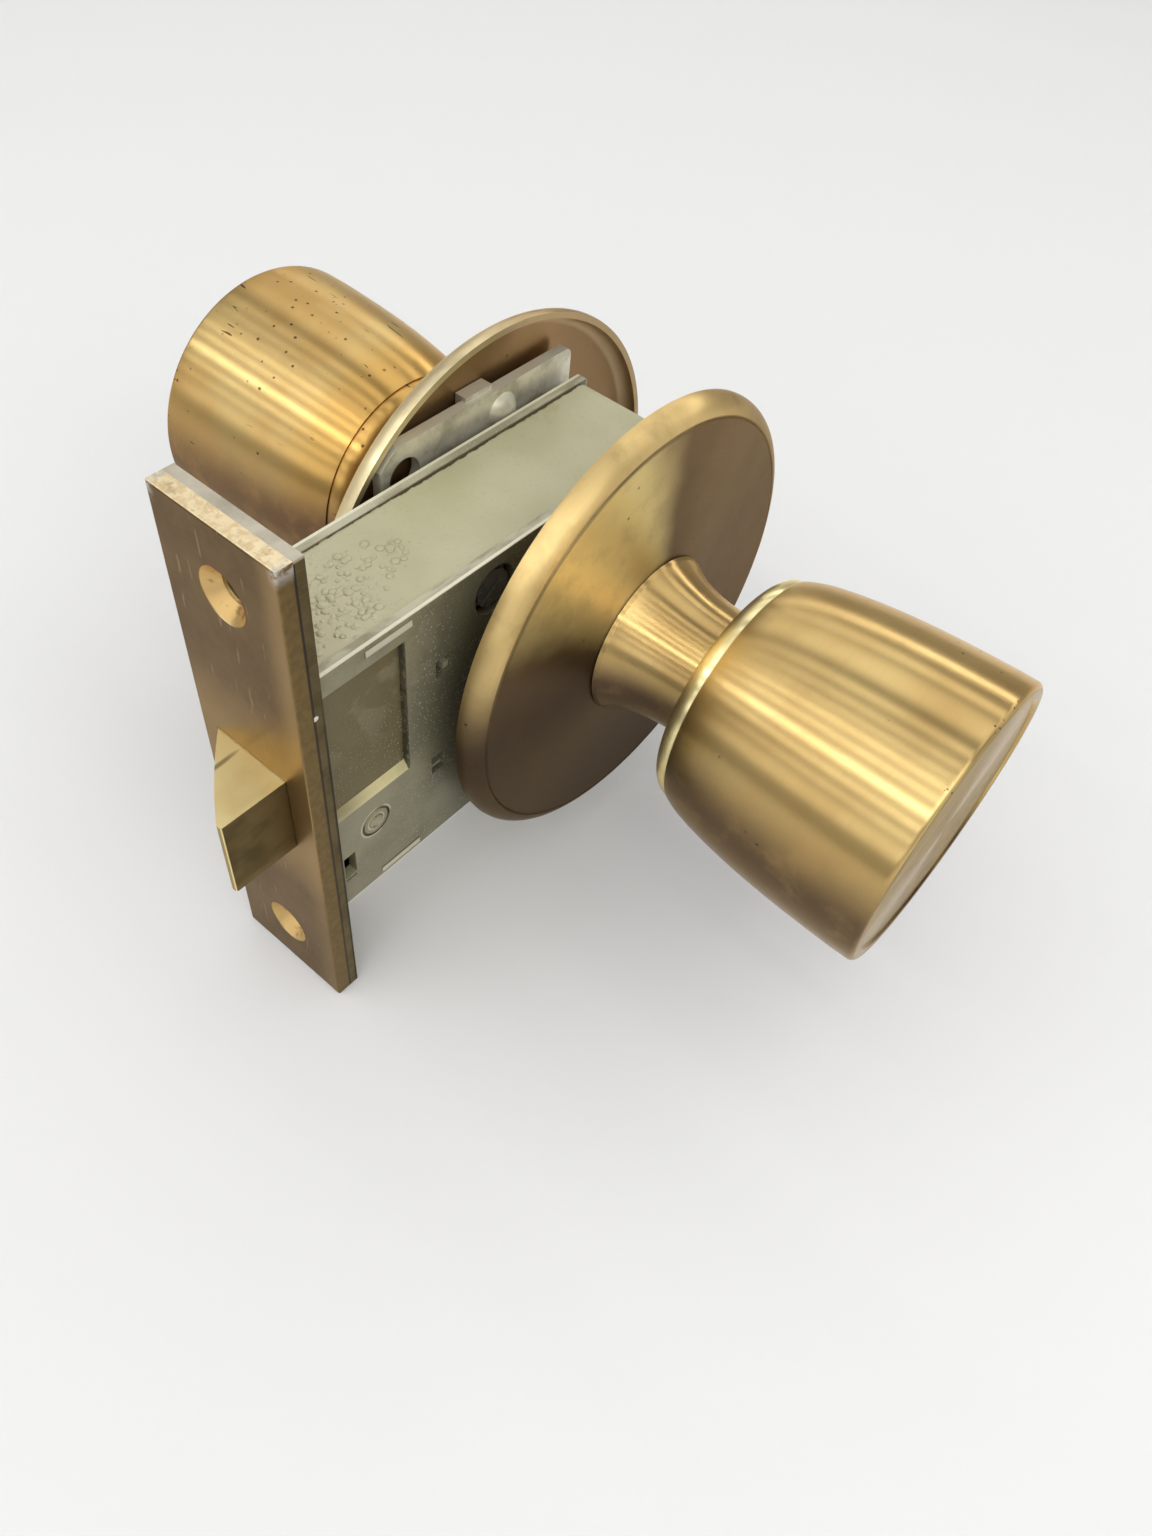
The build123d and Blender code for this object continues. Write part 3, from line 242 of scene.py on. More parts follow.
class TurnedBrass(Finish):
    """Satin brass brushed round the knob axis, with broad tarnish, pits and fine nicks."""

    def __init__(self, name, light, deep, pits):
        super().__init__(name)
        self.deep = deep
        centred = self.add("ShaderNodeMapping", {
            "Vector": self.place, "Location": (-axis_x * mm, 0, -axis_z * mm)}).outputs[0]
        self.flat = self.stretch(centred, (1, 0, 1))
        length = self.add("ShaderNodeVectorMath", {0: self.flat}, operation="LENGTH")
        self.radius = length.outputs["Value"]
        self.side, y, self.up = self.split(centred)
        self.along = self.either_way(y)
        self.angle = self.work("ARCTAN2", self.up, self.side)
        brushed = self.join(self.radius, y, self.times(self.angle, 0.0025))
        self.fine = self.noise(2400, 2.0, 0.6, brushed)
        self.tarnish = self.noise(34, 3.0, 0.55)
        self.blotch = self.noise(170, 4.0, 0.6)
        pitted = self.step(self.noise(60, 2.0), 0.60 - 0.06 * pits, 0.66 - 0.06 * pits)
        nicked = self.step(self.noise(48, 1.0), 0.56 - 0.05 * pits, 0.62 - 0.05 * pits, 0.0, pits)
        nick = self.step(self.noise(900, 1.0, 0.5, stretch=(1.0, 0.16, 1.0)), 0.72, 0.75)
        self.marks = self.most(self.times(self.spots(420, 0.17), pitted), self.times(nick, nicked))
        self.colour = self.blend(self.step(self.tarnish, 0.35, 0.68), light, deep)

    def cover(self, share, colour):
        self.colour = self.blend(share, self.colour, colour)

    def toward(self, angle, turn):
        """1 where the angle round the axis is the turn, in radians, and -1 opposite."""
        return self.work("COSINE", self.less(angle, turn))

    def paint_rim_highlight(self, colour, turn=2.0):
        """A painted highlight on a rose's rolled rim, brightest toward the turn."""
        rub_and_highlight = self.step(self.toward(self.angle, turn), 0.35, 0.88, 0.25, 1.0)
        edge = self.plus(self.radius, self.times(self.blotch, 0.0006))
        edge = self.past(edge, rose_face_radius + 0.2, rose_face_radius + 1.2)
        self.cover(self.times(edge, rub_and_highlight), colour)

    def paint_fan_highlight(self, colour):
        """A painted highlight: a fan of bright brass on a rose's face, up and to the front."""
        bright = self.step(self.toward(self.ragged(self.angle, self.tarnish, 0.4), 2.10), 0.74, 1.0)
        face = self.past(self.radius, rose_face_radius + 0.3, rose_face_radius - 0.7)
        self.cover(self.times(bright, face), colour)

    def paint_seam_glow(self, seam):
        """A painted warm orange glow by a knob's seam, next to the rose."""
        # Painted glow: orange near the seam, next to the rose
        near_seam = self.past(self.ragged(self.along, self.tarnish, 0.008), seam + 14.0, seam + 3.0)
        self.cover(self.times(near_seam, 0.8), (0.62, 0.360, 0.090))

    def paint_lower_shade(self, colour):
        """Painted shade: a brown tone on the lower side."""
        low = self.ragged(self.toward(self.angle, math.radians(65)), self.tarnish, 0.35)
        self.cover(self.step(low, 0.11, -0.48), colour)

    def paint_bead_highlight(self, seam):
        """The bead by a knob's seam, with a painted highlight, brightest on its upper side."""
        bead = self.times(self.past(self.along, seam - bead_width - 0.2, seam - bead_width + 0.1),
                          self.past(self.along, seam + 0.2, seam + 0.1))
        self.cover(self.times(bead, self.past(self.up, -20.0, 0.0, 0.3, 1.0)), (0.96, 0.83, 0.44))

    def score_end(self, seam, colour):
        """A knob's flat end with dirt and slanting scores, and chips along its rim."""
        end = seam + knob_length
        facing = self.either_way(self.split(self.normal)[1])
        flat_end = self.times(self.step(facing, 0.85, 0.97),
                              self.past(self.along, end - 1.3, end - 0.9))
        dirt = self.step(self.plus(self.noise(260, 4.0, 0.65), self.times(self.up, -5.0)), 0.48, 0.66)
        slant = self.less(self.times(self.up, 0.92), self.times(self.side, 0.40))
        grain = self.join(slant, 0.0, self.times(self.side, 0.05))
        score = self.step(self.noise(420, 3.0, 0.6, grain), 0.50, 0.70)
        worn = self.blend(self.times(dirt, 0.6), colour, (0.11, 0.078, 0.040))
        worn = self.blend(self.times(score, 0.45), worn, (0.52, 0.40, 0.19))
        self.cover(flat_end, worn)
        chips = self.times(self.spots(1100, 0.26), self.step(self.noise(150, 2.0), 0.52, 0.60),
                           self.past(self.along, end - 1.6, end - 1.2),
                           self.past(self.radius, knob_rim_radius - 0.9, knob_rim_radius - 0.2))
        self.cover(chips, (0.06, 0.04, 0.02))

    def close(self, roughness, wear):
        """Blotches, brushed lines and marks over the rest. The gloss is drawn out round the axis."""
        self.cover(self.step(self.blotch, 0.45, 0.75, 0.0, 0.22), self.deep)
        self.cover(self.step(self.fine, 0.45, 0.75, 0.0, 0.04), (0.24, 0.15, 0.07))
        self.cover(self.times(self.marks, 0.85), (0.05, 0.03, 0.018))
        rough = self.plus(self.step(self.fine, 0.25, 0.75, roughness - 0.01, roughness + 0.02),
                          self.times(self.blotch, wear))
        self.bump(self.less(self.times(self.fine, 0.05), self.times(self.marks, 8.0)), 0.000006)
        around = self.add("ShaderNodeVectorMath", {0: self.flat, 1: (0, 1, 0)},
                          operation="CROSS_PRODUCT")
        brushed = self.add("ShaderNodeVectorTransform", {0: around.outputs[0]}, vector_type="VECTOR",
                           convert_from="OBJECT", convert_to="WORLD").outputs[0]
        return self.set(Base_Color=self.colour, Metallic=1.0, Roughness=rough, Anisotropic=0.86,
                        Anisotropic_Rotation=0.25, Tangent=brushed, Coat_Weight=0.15,
                        Coat_Roughness=0.20, Specular_Tint=(1.0, 0.86, 0.66))


def front_knob_brass():
    f = TurnedBrass("satin knob", bright_brass, (0.53, 0.350, 0.130), pits=0.0)
    f.paint_lower_shade((0.110, 0.069, 0.040))
    f.paint_bead_highlight(-front_seam)
    f.score_end(-front_seam, (0.245, 0.170, 0.050))
    return f.close(0.27, 0.04)


def rear_knob_brass():
    f = TurnedBrass("pitted knob", bright_brass, (0.58, 0.350, 0.112), pits=1.0)
    f.paint_seam_glow(rear_seam)
    f.paint_lower_shade((0.160, 0.090, 0.048))
    f.score_end(rear_seam, (0.27, 0.190, 0.062))
    return f.close(0.28, 0.05)


def front_rose_brass():
    f = TurnedBrass("satin rose", (0.165, 0.100, 0.045), (0.120, 0.072, 0.034), pits=0.0)
    f.paint_rim_highlight((0.80, 0.585, 0.250))
    f.paint_fan_highlight((0.88, 0.700, 0.300))
    f.paint_lower_shade((0.055, 0.034, 0.021))
    return f.close(0.40, 0.06)


def rear_rose_brass():
    f = TurnedBrass("worn rose", (0.38, 0.235, 0.105), (0.27, 0.165, 0.080), pits=0.3)
    f.paint_rim_highlight((0.86, 0.72, 0.43), 2.5)
    return f.close(0.32, 0.06)


def rose_hollow_brass():
    f = TurnedBrass("rose inside", (0.170, 0.146, 0.112), (0.115, 0.098, 0.076), pits=0.3)
    return f.close(0.42, 0.10)


def front_patina():
    """Brown patina on the face of the front, worn to bright brass on its edges and in its holes."""
    f = Finish("front patina")
    x, y, z = f.split(f.place)
    outward, _, upward = f.split(f.normal)
    cloud = f.noise(70, 4.0, 0.6)
    small = f.noise(700, 3.0, 0.65)
    grain = f.noise(1500, 3.0, 0.6, stretch=(1, 1, 0.2))
    face = f.step(outward, -0.6, -0.9)
    top = f.step(upward, 0.5, 0.9)

    brown = f.blend(f.step(cloud, 0.35, 0.65), (0.138, 0.082, 0.038), (0.112, 0.067, 0.032))
    brown = f.blend(f.step(small, 0.40, 0.75, 0.0, 0.30), brown, (0.19, 0.113, 0.045))
    near_edge = f.times(f.past(y, -7.5, -12.2), f.past(z, -52, 36, 0.35, 0.8))
    brown = f.blend(near_edge, brown, (0.30, 0.200, 0.090))
    by_latch = f.past(f.either_way(f.less(z, latch_z * mm)), 26, 10, 0.0, 0.55)
    brown = f.blend(by_latch, brown, (0.38, 0.255, 0.110))

    edge = f.blend(f.step(small, 0.35, 0.65), (0.200, 0.136, 0.054), (0.160, 0.107, 0.043))
    # Painted shadow line along the seam with the steel layer
    edge = f.blend(f.past(x, layer_seam - 0.32, layer_seam - 0.10), edge, (0.05, 0.04, 0.03))
    crown = f.blend(f.step(small, 0.42, 0.60), (0.93, 0.78, 0.50), (0.80, 0.62, 0.36))
    crown = f.blend(f.step(f.noise(420, 3.0, 0.6), 0.62, 0.68, 0.0, 0.5), crown, (0.46, 0.34, 0.20))
    colour = f.blend(face, f.blend(top, edge, crown), brown)

    lower_hole, upper_hole = (
        f.past(f.distance(f.place, (front_face, 0, height)), sink_radius + 0.35, sink_radius + 0.10)
        for height in (-screw_offset, screw_offset))
    sunk = f.past(x, front_face + 0.02, front_face + 0.20)
    sink = f.blend(f.step(f.noise(500, 3.0, 0.6), 0.55, 0.70), (0.62, 0.42, 0.17), (0.38, 0.24, 0.095))
    colour = f.blend(f.times(f.most(lower_hole, upper_hole), sunk), colour, sink)

    scratch = f.step(f.noise(900, 2.0, 0.5, stretch=(1, 1, 0.12)), 0.68, 0.72, 0.0, 0.4)
    colour = f.blend(f.times(scratch, face), colour, (0.40, 0.30, 0.20))
    corner = f.times(f.past(f.either_way(y), front_half_width - 1.9, front_half_width - 0.3),
                     f.past(z, front_half_height - 3.5, front_half_height - 0.5),
                     f.step(small, 0.35, 0.55))
    colour = f.blend(f.times(corner, 0.85), colour, (0.60, 0.57, 0.52))

    relief = f.plus(f.times(grain, 0.5), f.times(cloud, 0.12))
    f.bump(f.plus(relief, f.times(small, top, 6.0)), 0.00002)
    return f.set(Base_Color=colour, Metallic=0.92, Roughness=f.step(cloud, 0.3, 0.7, 0.37, 0.43),
                 Specular_Tint=(1.0, 0.92, 0.78))


def latch_brass():
    """Bright brass of the latch, scratched on top; its flat side, its front and its underside are dark,
    greased in part and painted shade in part.
    """
    f = Finish("latch brass")
    x, y, z = f.split(f.place)
    outward, _, upward = f.split(f.normal)
    scratch = f.noise(900, 2.0, 0.6, stretch=(0.15, 1, 1))
    colour = f.blend(f.step(f.noise(120, 3.0), 0.4, 0.65), (0.98, 0.84, 0.45), (0.93, 0.76, 0.37))
    line = f.step(f.noise(420, 1.0, 0.5, stretch=(0.1, 1, 1)), 0.66, 0.72, 0.0, 0.7)
    colour = f.blend(f.times(line, f.step(upward, 0.6, 0.9)), colour, (0.20, 0.13, 0.05))

    # Dark brown on the flat side, the front and underneath: painted shade together with greased dirt,
    # lighter toward the rear
    grease_and_shade = f.step(f.plus(f.noise(140, 3.0), f.times(x, 14.0)), 0.12, 0.42)
    greasy_and_shaded = f.blend(grease_and_shade, (0.095, 0.068, 0.032), (0.155, 0.112, 0.050))
    foot = f.past(z, latch_bottom + 2.0, latch_bottom + 0.8, 0.0, 0.5)
    greasy_and_shaded = f.blend(foot, greasy_and_shaded, (0.24, 0.175, 0.080))
    flat_side = f.past(y, latch_flat_side + 0.15, latch_flat_side + 0.05)
    hidden = f.most(f.step(upward, 0.1, -0.4), f.step(outward, -0.80, -0.95, 0.0, 0.7))
    colour = f.blend(f.most(flat_side, hidden), colour, greasy_and_shaded)
    f.bump(scratch, 0.000008)
    return f.set(Base_Color=colour, Metallic=1.0, Roughness=f.step(scratch, 0.3, 0.7, 0.46, 0.54),
                 Specular_Tint=(1.0, 0.88, 0.65))


class WornSteel(Finish):
    """Grey zinc or bare steel with clouds, pale rub streaks and dark specks."""

    def __init__(self, name, light, dark, scale=1.0, streaks=(0.15, 1, 1), rub_and_highlight=0.35):
        super().__init__(name)
        self.cloud = self.noise(160 * scale, 4.0, 0.6)
        self.streak = self.noise(1400 * scale, 2.0, 0.6, stretch=streaks)
        self.colour = self.blend(self.step(self.cloud, 0.36, 0.68), light, dark)
        self.cover(self.step(self.streak, 0.55, 0.75, 0.0, rub_and_highlight), (0.66, 0.64, 0.58))
        specks = self.times(self.spots(900 * scale, 0.22), self.step(self.cloud, 0.55, 0.7, 0.0, 0.6))
        self.cover(specks, (0.07, 0.06, 0.05))

    def cover(self, share, colour):
        self.colour = self.blend(share, self.colour, colour)

    def close(self, metal=0.85, tint=(1.0, 1.0, 1.0)):
        self.bump(self.plus(self.streak, self.cloud), 0.00002)
        return self.set(Base_Color=self.colour, Metallic=metal, Specular_Tint=tint,
                        Roughness=self.step(self.cloud, 0.3, 0.7, 0.34, 0.50))


def mounting_steel():
    """Steel of the plates behind the roses, streaked upward, with a painted highlight on the faces that
    point up.
    """
    f = WornSteel("plate steel", (0.84, 0.80, 0.64), (0.48, 0.45, 0.33), streaks=(1, 1, 0.08))
    # Painted highlight on the faces that point up
    f.cover(f.step(f.split(f.normal)[2], 0.3, 0.8, 0.0, 0.9), (0.72, 0.70, 0.58))
    return f.close(0.6)


def front_steel():
    """The steel layer behind the front: pale on its top edge, with painted shadow in the gaps along its
    sides.
    """
    f = WornSteel("front steel", (0.135, 0.102, 0.048), (0.095, 0.072, 0.034), rub_and_highlight=0.06)
    x, y, z = f.split(f.place)
    top = front_half_height
    pale = f.times(f.past(z, top - 0.6, top - 0.2), f.step(f.cloud, 0.30, 0.70, 0.95, 0.65))
    f.cover(pale, (0.62, 0.57, 0.45))
    # Painted shadow in the gaps along the sides, in front of this layer and behind its lower part
    front_gap_shadow = f.past(x, layer_seam + 0.30, layer_seam + 0.18)
    rear_gap_shadow = f.times(f.past(x, -0.55, -0.30), f.past(z, 34, 12))
    sides = f.past(f.either_way(y), front_half_width - 0.9, front_half_width - 0.5)
    gap_shadow = f.times(f.most(front_gap_shadow, rear_gap_shadow), sides, f.past(z, top - 0.2, top - 0.7))
    f.cover(gap_shadow, (0.035, 0.03, 0.025))
    dab = f.distance(f.place, (-1.6, -front_half_width, 24.2))
    f.cover(f.past(dab, 0.6, 0.4), (0.80, 0.78, 0.70))
    return f.close(tint=(1.0, 0.90, 0.72))


def case_paint():
    """Pale green-grey paint on the band, blistered by the front and rusted black along the far seam."""
    f = Finish("case paint")
    x, y, z = f.split(f.place)
    cloud = f.noise(60, 4.0, 0.55)
    grain = f.noise(2600, 2.0, 0.6)
    near_front = f.past(f.plus(x, f.times(cloud, 0.012)), 34, 12)
    colour = f.blend(f.step(cloud, 0.35, 0.65), (0.420, 0.402, 0.240), (0.470, 0.447, 0.283))
    colour = f.blend(f.times(near_front, 0.6), colour, (0.56, 0.50, 0.33))
    colour = f.blend(f.step(f.noise(1300, 3.0), 0.55, 0.75, 0.0, 0.30), colour, (0.33, 0.31, 0.19))
    rub = f.times(f.step(f.noise(190, 3.0, 0.6), 0.56, 0.68, 0.0, 0.35), f.past(y, 3, 9))
    colour = f.blend(rub, colour, (0.36, 0.29, 0.12))

    deeper = f.past(x, 20, 45, 0.35 * mm, 0.0)
    rust = f.less(f.ragged(y, f.noise(520, 4.0, 0.7), 0.0013), deeper)
    rust = f.past(rust, plate_inside - 0.60, plate_inside - 0.35)
    colour = f.blend(rust, colour, (0.060, 0.045, 0.018))
    near_seam = f.plus(y, f.times(f.noise(700, 2.0), 0.0002))
    near_seam = f.past(near_seam, 0.28 - plate_inside, 0.15 - plate_inside, 0.0, 0.75)
    colour = f.blend(near_seam, colour, (0.16, 0.145, 0.09))
    tab = f.past(f.either_way(y), case_half_width, case_half_width + 0.05)
    colour = f.blend(tab, colour, (0.54, 0.51, 0.38))
    # Painted shade on the inside faces of the band
    inside = f.times(f.past(z, band_top - 1.6, band_top - 2.1), f.past(z, -26.5, -26.0),
                     f.past(x, case_rear - 1.7, case_rear - 2.1))
    colour = f.blend(inside, colour, (0.16, 0.15, 0.12))

    swell = f.step(f.noise(520, 2.0, 0.5), 0.55, 0.68, 0.0, 0.7)
    f.bump(f.plus(f.times(grain, 0.06), f.times(swell, near_front)), 0.00022)
    return f.set(Base_Color=colour, Metallic=0.12, Roughness=f.step(cloud, 0.3, 0.7, 0.36, 0.48))


def paint_panel(f, colour, cloud):
    """The pressed panel of the near plate: painted shadow toward the rose, its bevel with a painted
    highlight where it faces up, and the ring round its rivet with a painted dark groove and painted
    light lips.
    """
    x, y, z = f.split(f.place)
    upward = f.split(f.normal)[2]
    # Painted shadow of the rose toward the rear of the plate
    rear = f.past(f.plus(x, f.times(cloud, 0.008)), 18, 36, 0.0, 0.75)
    colour = f.blend(rear, colour, (0.105, 0.096, 0.056))
    floor_of_panel = f.times(f.past(y, 0.08 - case_half_width, 0.50 - case_half_width),
                             f.past(x, panel_rear + 0.6, panel_rear - 0.2),
                             f.past(z, panel_bottom - 0.6, panel_bottom + 0.4))
    colour = f.blend(f.times(floor_of_panel, 0.85), colour, (0.130, 0.098, 0.034))
    # Painted highlight on the part of the bevel that faces up
    bevel = f.times(f.step(upward, 0.15, 0.35), f.past(x, panel_rear + 0.4, panel_rear - 0.2),
                    f.past(z, 0, -1), f.past(x, 0, 12, 0.35, 1.0), f.step(cloud, 0.25, 0.60, 1.0, 0.65))
    colour = f.blend(bevel, colour, (0.84, 0.76, 0.42))
    wavy = f.ragged(x, f.noise(800, 3.0, 0.65), 0.0009)
    wall = f.times(f.past(wavy, panel_rear - 0.15, panel_rear),
                   f.past(x, panel_rear + 0.4, panel_rear + 0.2),
                   f.past(z, panel_bottom - 0.2, panel_bottom + 0.4),
                   f.past(z, panel_top + 0.3, panel_top - 0.2))
    colour = f.blend(f.times(wall, 0.9), colour, (0.040, 0.034, 0.018))
    gleam = f.times(f.step(f.noise(160, 2.0), 0.50, 0.60), f.past(z, 0, 20),
                    f.past(x, panel_rear + 1.0, 30, 0.30, 0.0))
    colour = f.blend(gleam, colour, (0.34, 0.315, 0.21))

    away = f.distance(f.stretch(f.place, (1, 0, 1)), (rivet_x, 0, rivet_z))
    # Painted shade in the groove round the rivet
    ring = f.times(f.past(away, 2.62, 2.72), f.past(away, 3.22, 3.12))
    colour = f.blend(f.times(ring, 0.85), colour, (0.05, 0.044, 0.028))
    # Painted highlights on the lips round the rivet
    lip = f.times(f.past(away, 3.18, 3.26), f.past(away, 3.62, 3.50),
                  f.step(f.noise(260, 1.0), 0.40, 0.52))
    lip = f.most(lip, f.times(f.past(away, 1.58, 1.66), f.past(away, 2.0, 1.9)))
    return f.blend(f.times(lip, 0.7), colour, (0.58, 0.54, 0.38))


def plate_paint(name, near):
    """Dull olive plating of the side plates, lighter on their cut edges partly from wear and partly as
    a painted highlight, brightest on the outer arris, and specked.
    """
    f = Finish(name)
    x, y, z = f.split(f.place)
    cloud = f.noise(75, 4.0, 0.55)
    small = f.noise(1100, 3.0, 0.6)
    specks = f.spots(1700, 0.24)
    colour = f.blend(f.step(cloud, 0.32, 0.68), (0.280, 0.256, 0.158), (0.205, 0.187, 0.118))
    dust = f.step(cloud, 0.40, 0.60, 0.15, 0.8)
    if near:
        colour = paint_panel(f, colour, cloud)
        dust = f.times(dust, f.past(x, 10, 19, 0.35, 1.0))
    height = f.either_way(f.less(z, axis_z * mm))
    # Cut edges lighter, partly worn and partly a painted highlight
    cut_edges = f.most(f.past(height, case_half_height - 0.25, case_half_height - 0.10),
                       f.past(x, case_rear - 0.5, case_rear - 0.2))
    wear = f.step(f.noise(300, 3.0, 0.6, stretch=(0.3, 1, 1)), 0.40, 0.62, 0.35, 0.8)
    colour = f.blend(f.times(cut_edges, wear), colour, (0.56, 0.53, 0.38))
    # Painted highlight along the outer arris
    arris_highlight = f.times(cut_edges, f.past(f.either_way(y), case_half_width - 0.65, case_half_width - 0.50))
    colour = f.blend(arris_highlight, colour, (0.72, 0.69, 0.52))
    colour = f.blend(f.times(specks, dust), colour, (0.62, 0.59, 0.45))
    f.bump(f.plus(f.times(specks, 0.5), small), 0.00004)
    return f.set(Base_Color=colour, Metallic=0.35, Roughness=f.step(cloud, 0.3, 0.7, 0.36, 0.50))


bright_brass = (0.66, 0.475, 0.190)
satin_knob = front_knob_brass()
pitted_knob = rear_knob_brass()
satin_rose = front_rose_brass()
worn_rose = rear_rose_brass()
rose_inside = rose_hollow_brass()
zinc = WornSteel("zinc plate", (0.66, 0.63, 0.48), (0.46, 0.44, 0.33)).close(0.5)
rivet_steel = WornSteel("rivet steel", (0.36, 0.33, 0.21), (0.12, 0.11, 0.07), 3.0).close(0.5)
dull_steel = WornSteel("dull steel", (0.30, 0.285, 0.25), (0.17, 0.16, 0.14), 1.4).close()
spring_steel = WornSteel("spring steel", (0.40, 0.40, 0.40), (0.24, 0.24, 0.24), 2.0).close()
band_paint = case_paint()

for finish, names in (
        (front_patina(), ["armor_front"]),
        (front_steel(), ["inner_front"]),
        (latch_brass(), ["latch_head"]),
        (plate_paint("near plate", True), ["case_cap"]),
        (plate_paint("far plate", False), ["case_side_plate"]),
        (band_paint, ["case_band"]),
        (rivet_steel, ["case_rivets"]),
        (mounting_steel(), ["rear_mounting_plate", "front_mounting_plate"]),
        (zinc, ["latch_guides", "rear_plate_rivets", "front_plate_rivets"]),
        (dull_steel, ["fixing_posts", "fixing_screws", "retractor", "hub", "spindle", "latch_tail",
                      "front_collar", "rear_collar", "knob_set_screws"]),
        (spring_steel, ["latch_spring", "retractor_springs"]),
        (satin_knob, ["front_knob_shell", "front_knob_back", "front_knob_shank"]),
        (pitted_knob, ["rear_knob_shell", "rear_knob_back", "rear_knob_shank"])):
    for name in names:
        for item in solids[name].material_slots:
            item.material = finish


class Tree(NodeMaker):
    """A Geometry Nodes tree with named inputs."""

    def __init__(self, name, inputs):
        self.group = bpy.data.node_groups.new(name, "GeometryNodeTree")
        super().__init__(self.group)
        sockets = self.group.interface
        sockets.new_socket("Geometry", in_out="INPUT", socket_type="NodeSocketGeometry")
        for title, kind in inputs.items():
            sockets.new_socket(title, in_out="INPUT", socket_type="NodeSocket" + kind)
        sockets.new_socket("Geometry", in_out="OUTPUT", socket_type="NodeSocketGeometry")
        self.start = self.add("NodeGroupInput")
        self.end = self.add("NodeGroupOutput")

    def input(self, title):
        return self.start.outputs[title]

    def smooth(self, geometry):
        node = self.add("GeometryNodeSetShadeSmooth", {"Geometry": geometry, "Shade Smooth": True})
        return node.outputs[0]

    def real(self, geometry):
        return self.add("GeometryNodeRealizeInstances", {0: geometry}).outputs[0]

    def close(self, geometry):
        finish = self.add("GeometryNodeSetMaterial", {
            "Geometry": self.real(geometry), "Material": self.input("Finish")})
        self.put(finish.outputs[0], self.end.inputs[0])


def grow(name, mesh, tree, values, body):
    """Runs a tree on a mesh, keeps the result as a plain mesh, and gives it to a body."""
    source = bpy.data.objects.new(name + ".source", mesh)
    bpy.context.scene.collection.objects.link(source)
    modifier = source.modifiers.new("nodes", "NODES")
    modifier.node_group = tree.group
    sockets = tree.group.interface.items_tree
    titles = {item.name: item.identifier for item in sockets if item.in_out == "INPUT"}
    for title, value in values.items():
        modifier[titles[title]] = value
    graph = bpy.context.evaluated_depsgraph_get()
    made = bpy.data.meshes.new_from_object(
        source.evaluated_get(graph), preserve_all_data_layers=True, depsgraph=graph)
    source.modifiers.remove(modifier)
    bpy.data.objects.remove(source)
    made.name = name
    piece = bpy.data.objects.new(name, made)
    bpy.context.scene.collection.objects.link(piece)
    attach(piece, body)
    return piece


def turned_tree():
    """A turned piece: the profile's points, (place along Y, radius), go round the knob axis."""
    t = Tree("turned piece", {
        "Steps": "Int", "Centre X": "Float", "Centre Z": "Float", "Crease": "Float",
        "Finish": "Material"})
    count = t.add("GeometryNodeAttributeDomainSize", {0: t.input("Geometry")}).outputs["Point Count"]
    columns = t.plus(t.input("Steps"), 1.0)
    grid = t.add("GeometryNodeMeshGrid", {"Vertices X": count, "Vertices Y": columns}).outputs["Mesh"]
    index = t.add("GeometryNodeInputIndex").outputs[0]
    row = t.work("FLOOR", t.work("DIVIDE", t.plus(index, 0.5), columns))
    column = t.less(index, t.times(row, columns))
    angle = t.times(t.work("DIVIDE", column, t.input("Steps")), 2 * math.pi)
    profile = t.add("GeometryNodeSampleIndex", {
        "Geometry": t.input("Geometry"), "Value": t.add("GeometryNodeInputPosition").outputs[0],
        "Index": row}, data_type="FLOAT_VECTOR")
    along, radius, _ = t.split(profile.outputs["Value"])
    side = t.plus(t.times(radius, t.work("COSINE", angle)), t.input("Centre X"))
    rise = t.plus(t.times(radius, t.work("SINE", angle)), t.input("Centre Z"))
    laid = t.add("GeometryNodeSetPosition", {"Geometry": grid, "Position": t.join(side, along, rise)})
    joined = t.add("GeometryNodeMergeByDistance", {"Geometry": laid.outputs[0], "Distance": 1e-6})
    bend = t.add("GeometryNodeInputMeshEdgeAngle").outputs["Unsigned Angle"]
    sharp = t.add("FunctionNodeCompare", {0: bend, 1: t.input("Crease")},
                  data_type="FLOAT", operation="GREATER_THAN").outputs[0]
    creased = t.add("GeometryNodeSetShadeSmooth", {
        "Geometry": t.smooth(joined.outputs[0]), "Selection": sharp, "Shade Smooth": False},
        domain="EDGE")
    t.close(creased.outputs[0])
    return t


def arc(first, middle, last, steps):
    """Points of the arc through three points."""
    (x1, y1), (x2, y2), (x3, y3) = first, middle, last
    d = 2 * (x1 * (y2 - y3) + x2 * (y3 - y1) + x3 * (y1 - y2))
    s1, s2, s3 = x1 * x1 + y1 * y1, x2 * x2 + y2 * y2, x3 * x3 + y3 * y3
    cx = (s1 * (y2 - y3) + s2 * (y3 - y1) + s3 * (y1 - y2)) / d
    cy = (s1 * (x3 - x2) + s2 * (x1 - x3) + s3 * (x2 - x1)) / d
    r = math.hypot(x1 - cx, y1 - cy)
    a1, a2, a3 = (math.atan2(y - cy, x - cx) for x, y in (first, middle, last))
    sweep = (a3 - a1) % (2 * math.pi)
    if (a2 - a1) % (2 * math.pi) > sweep:
        sweep -= 2 * math.pi
    angles = [a1 + sweep * i / steps for i in range(steps + 1)]
    return [(cx + r * math.cos(a), cy + r * math.sin(a)) for a in angles]


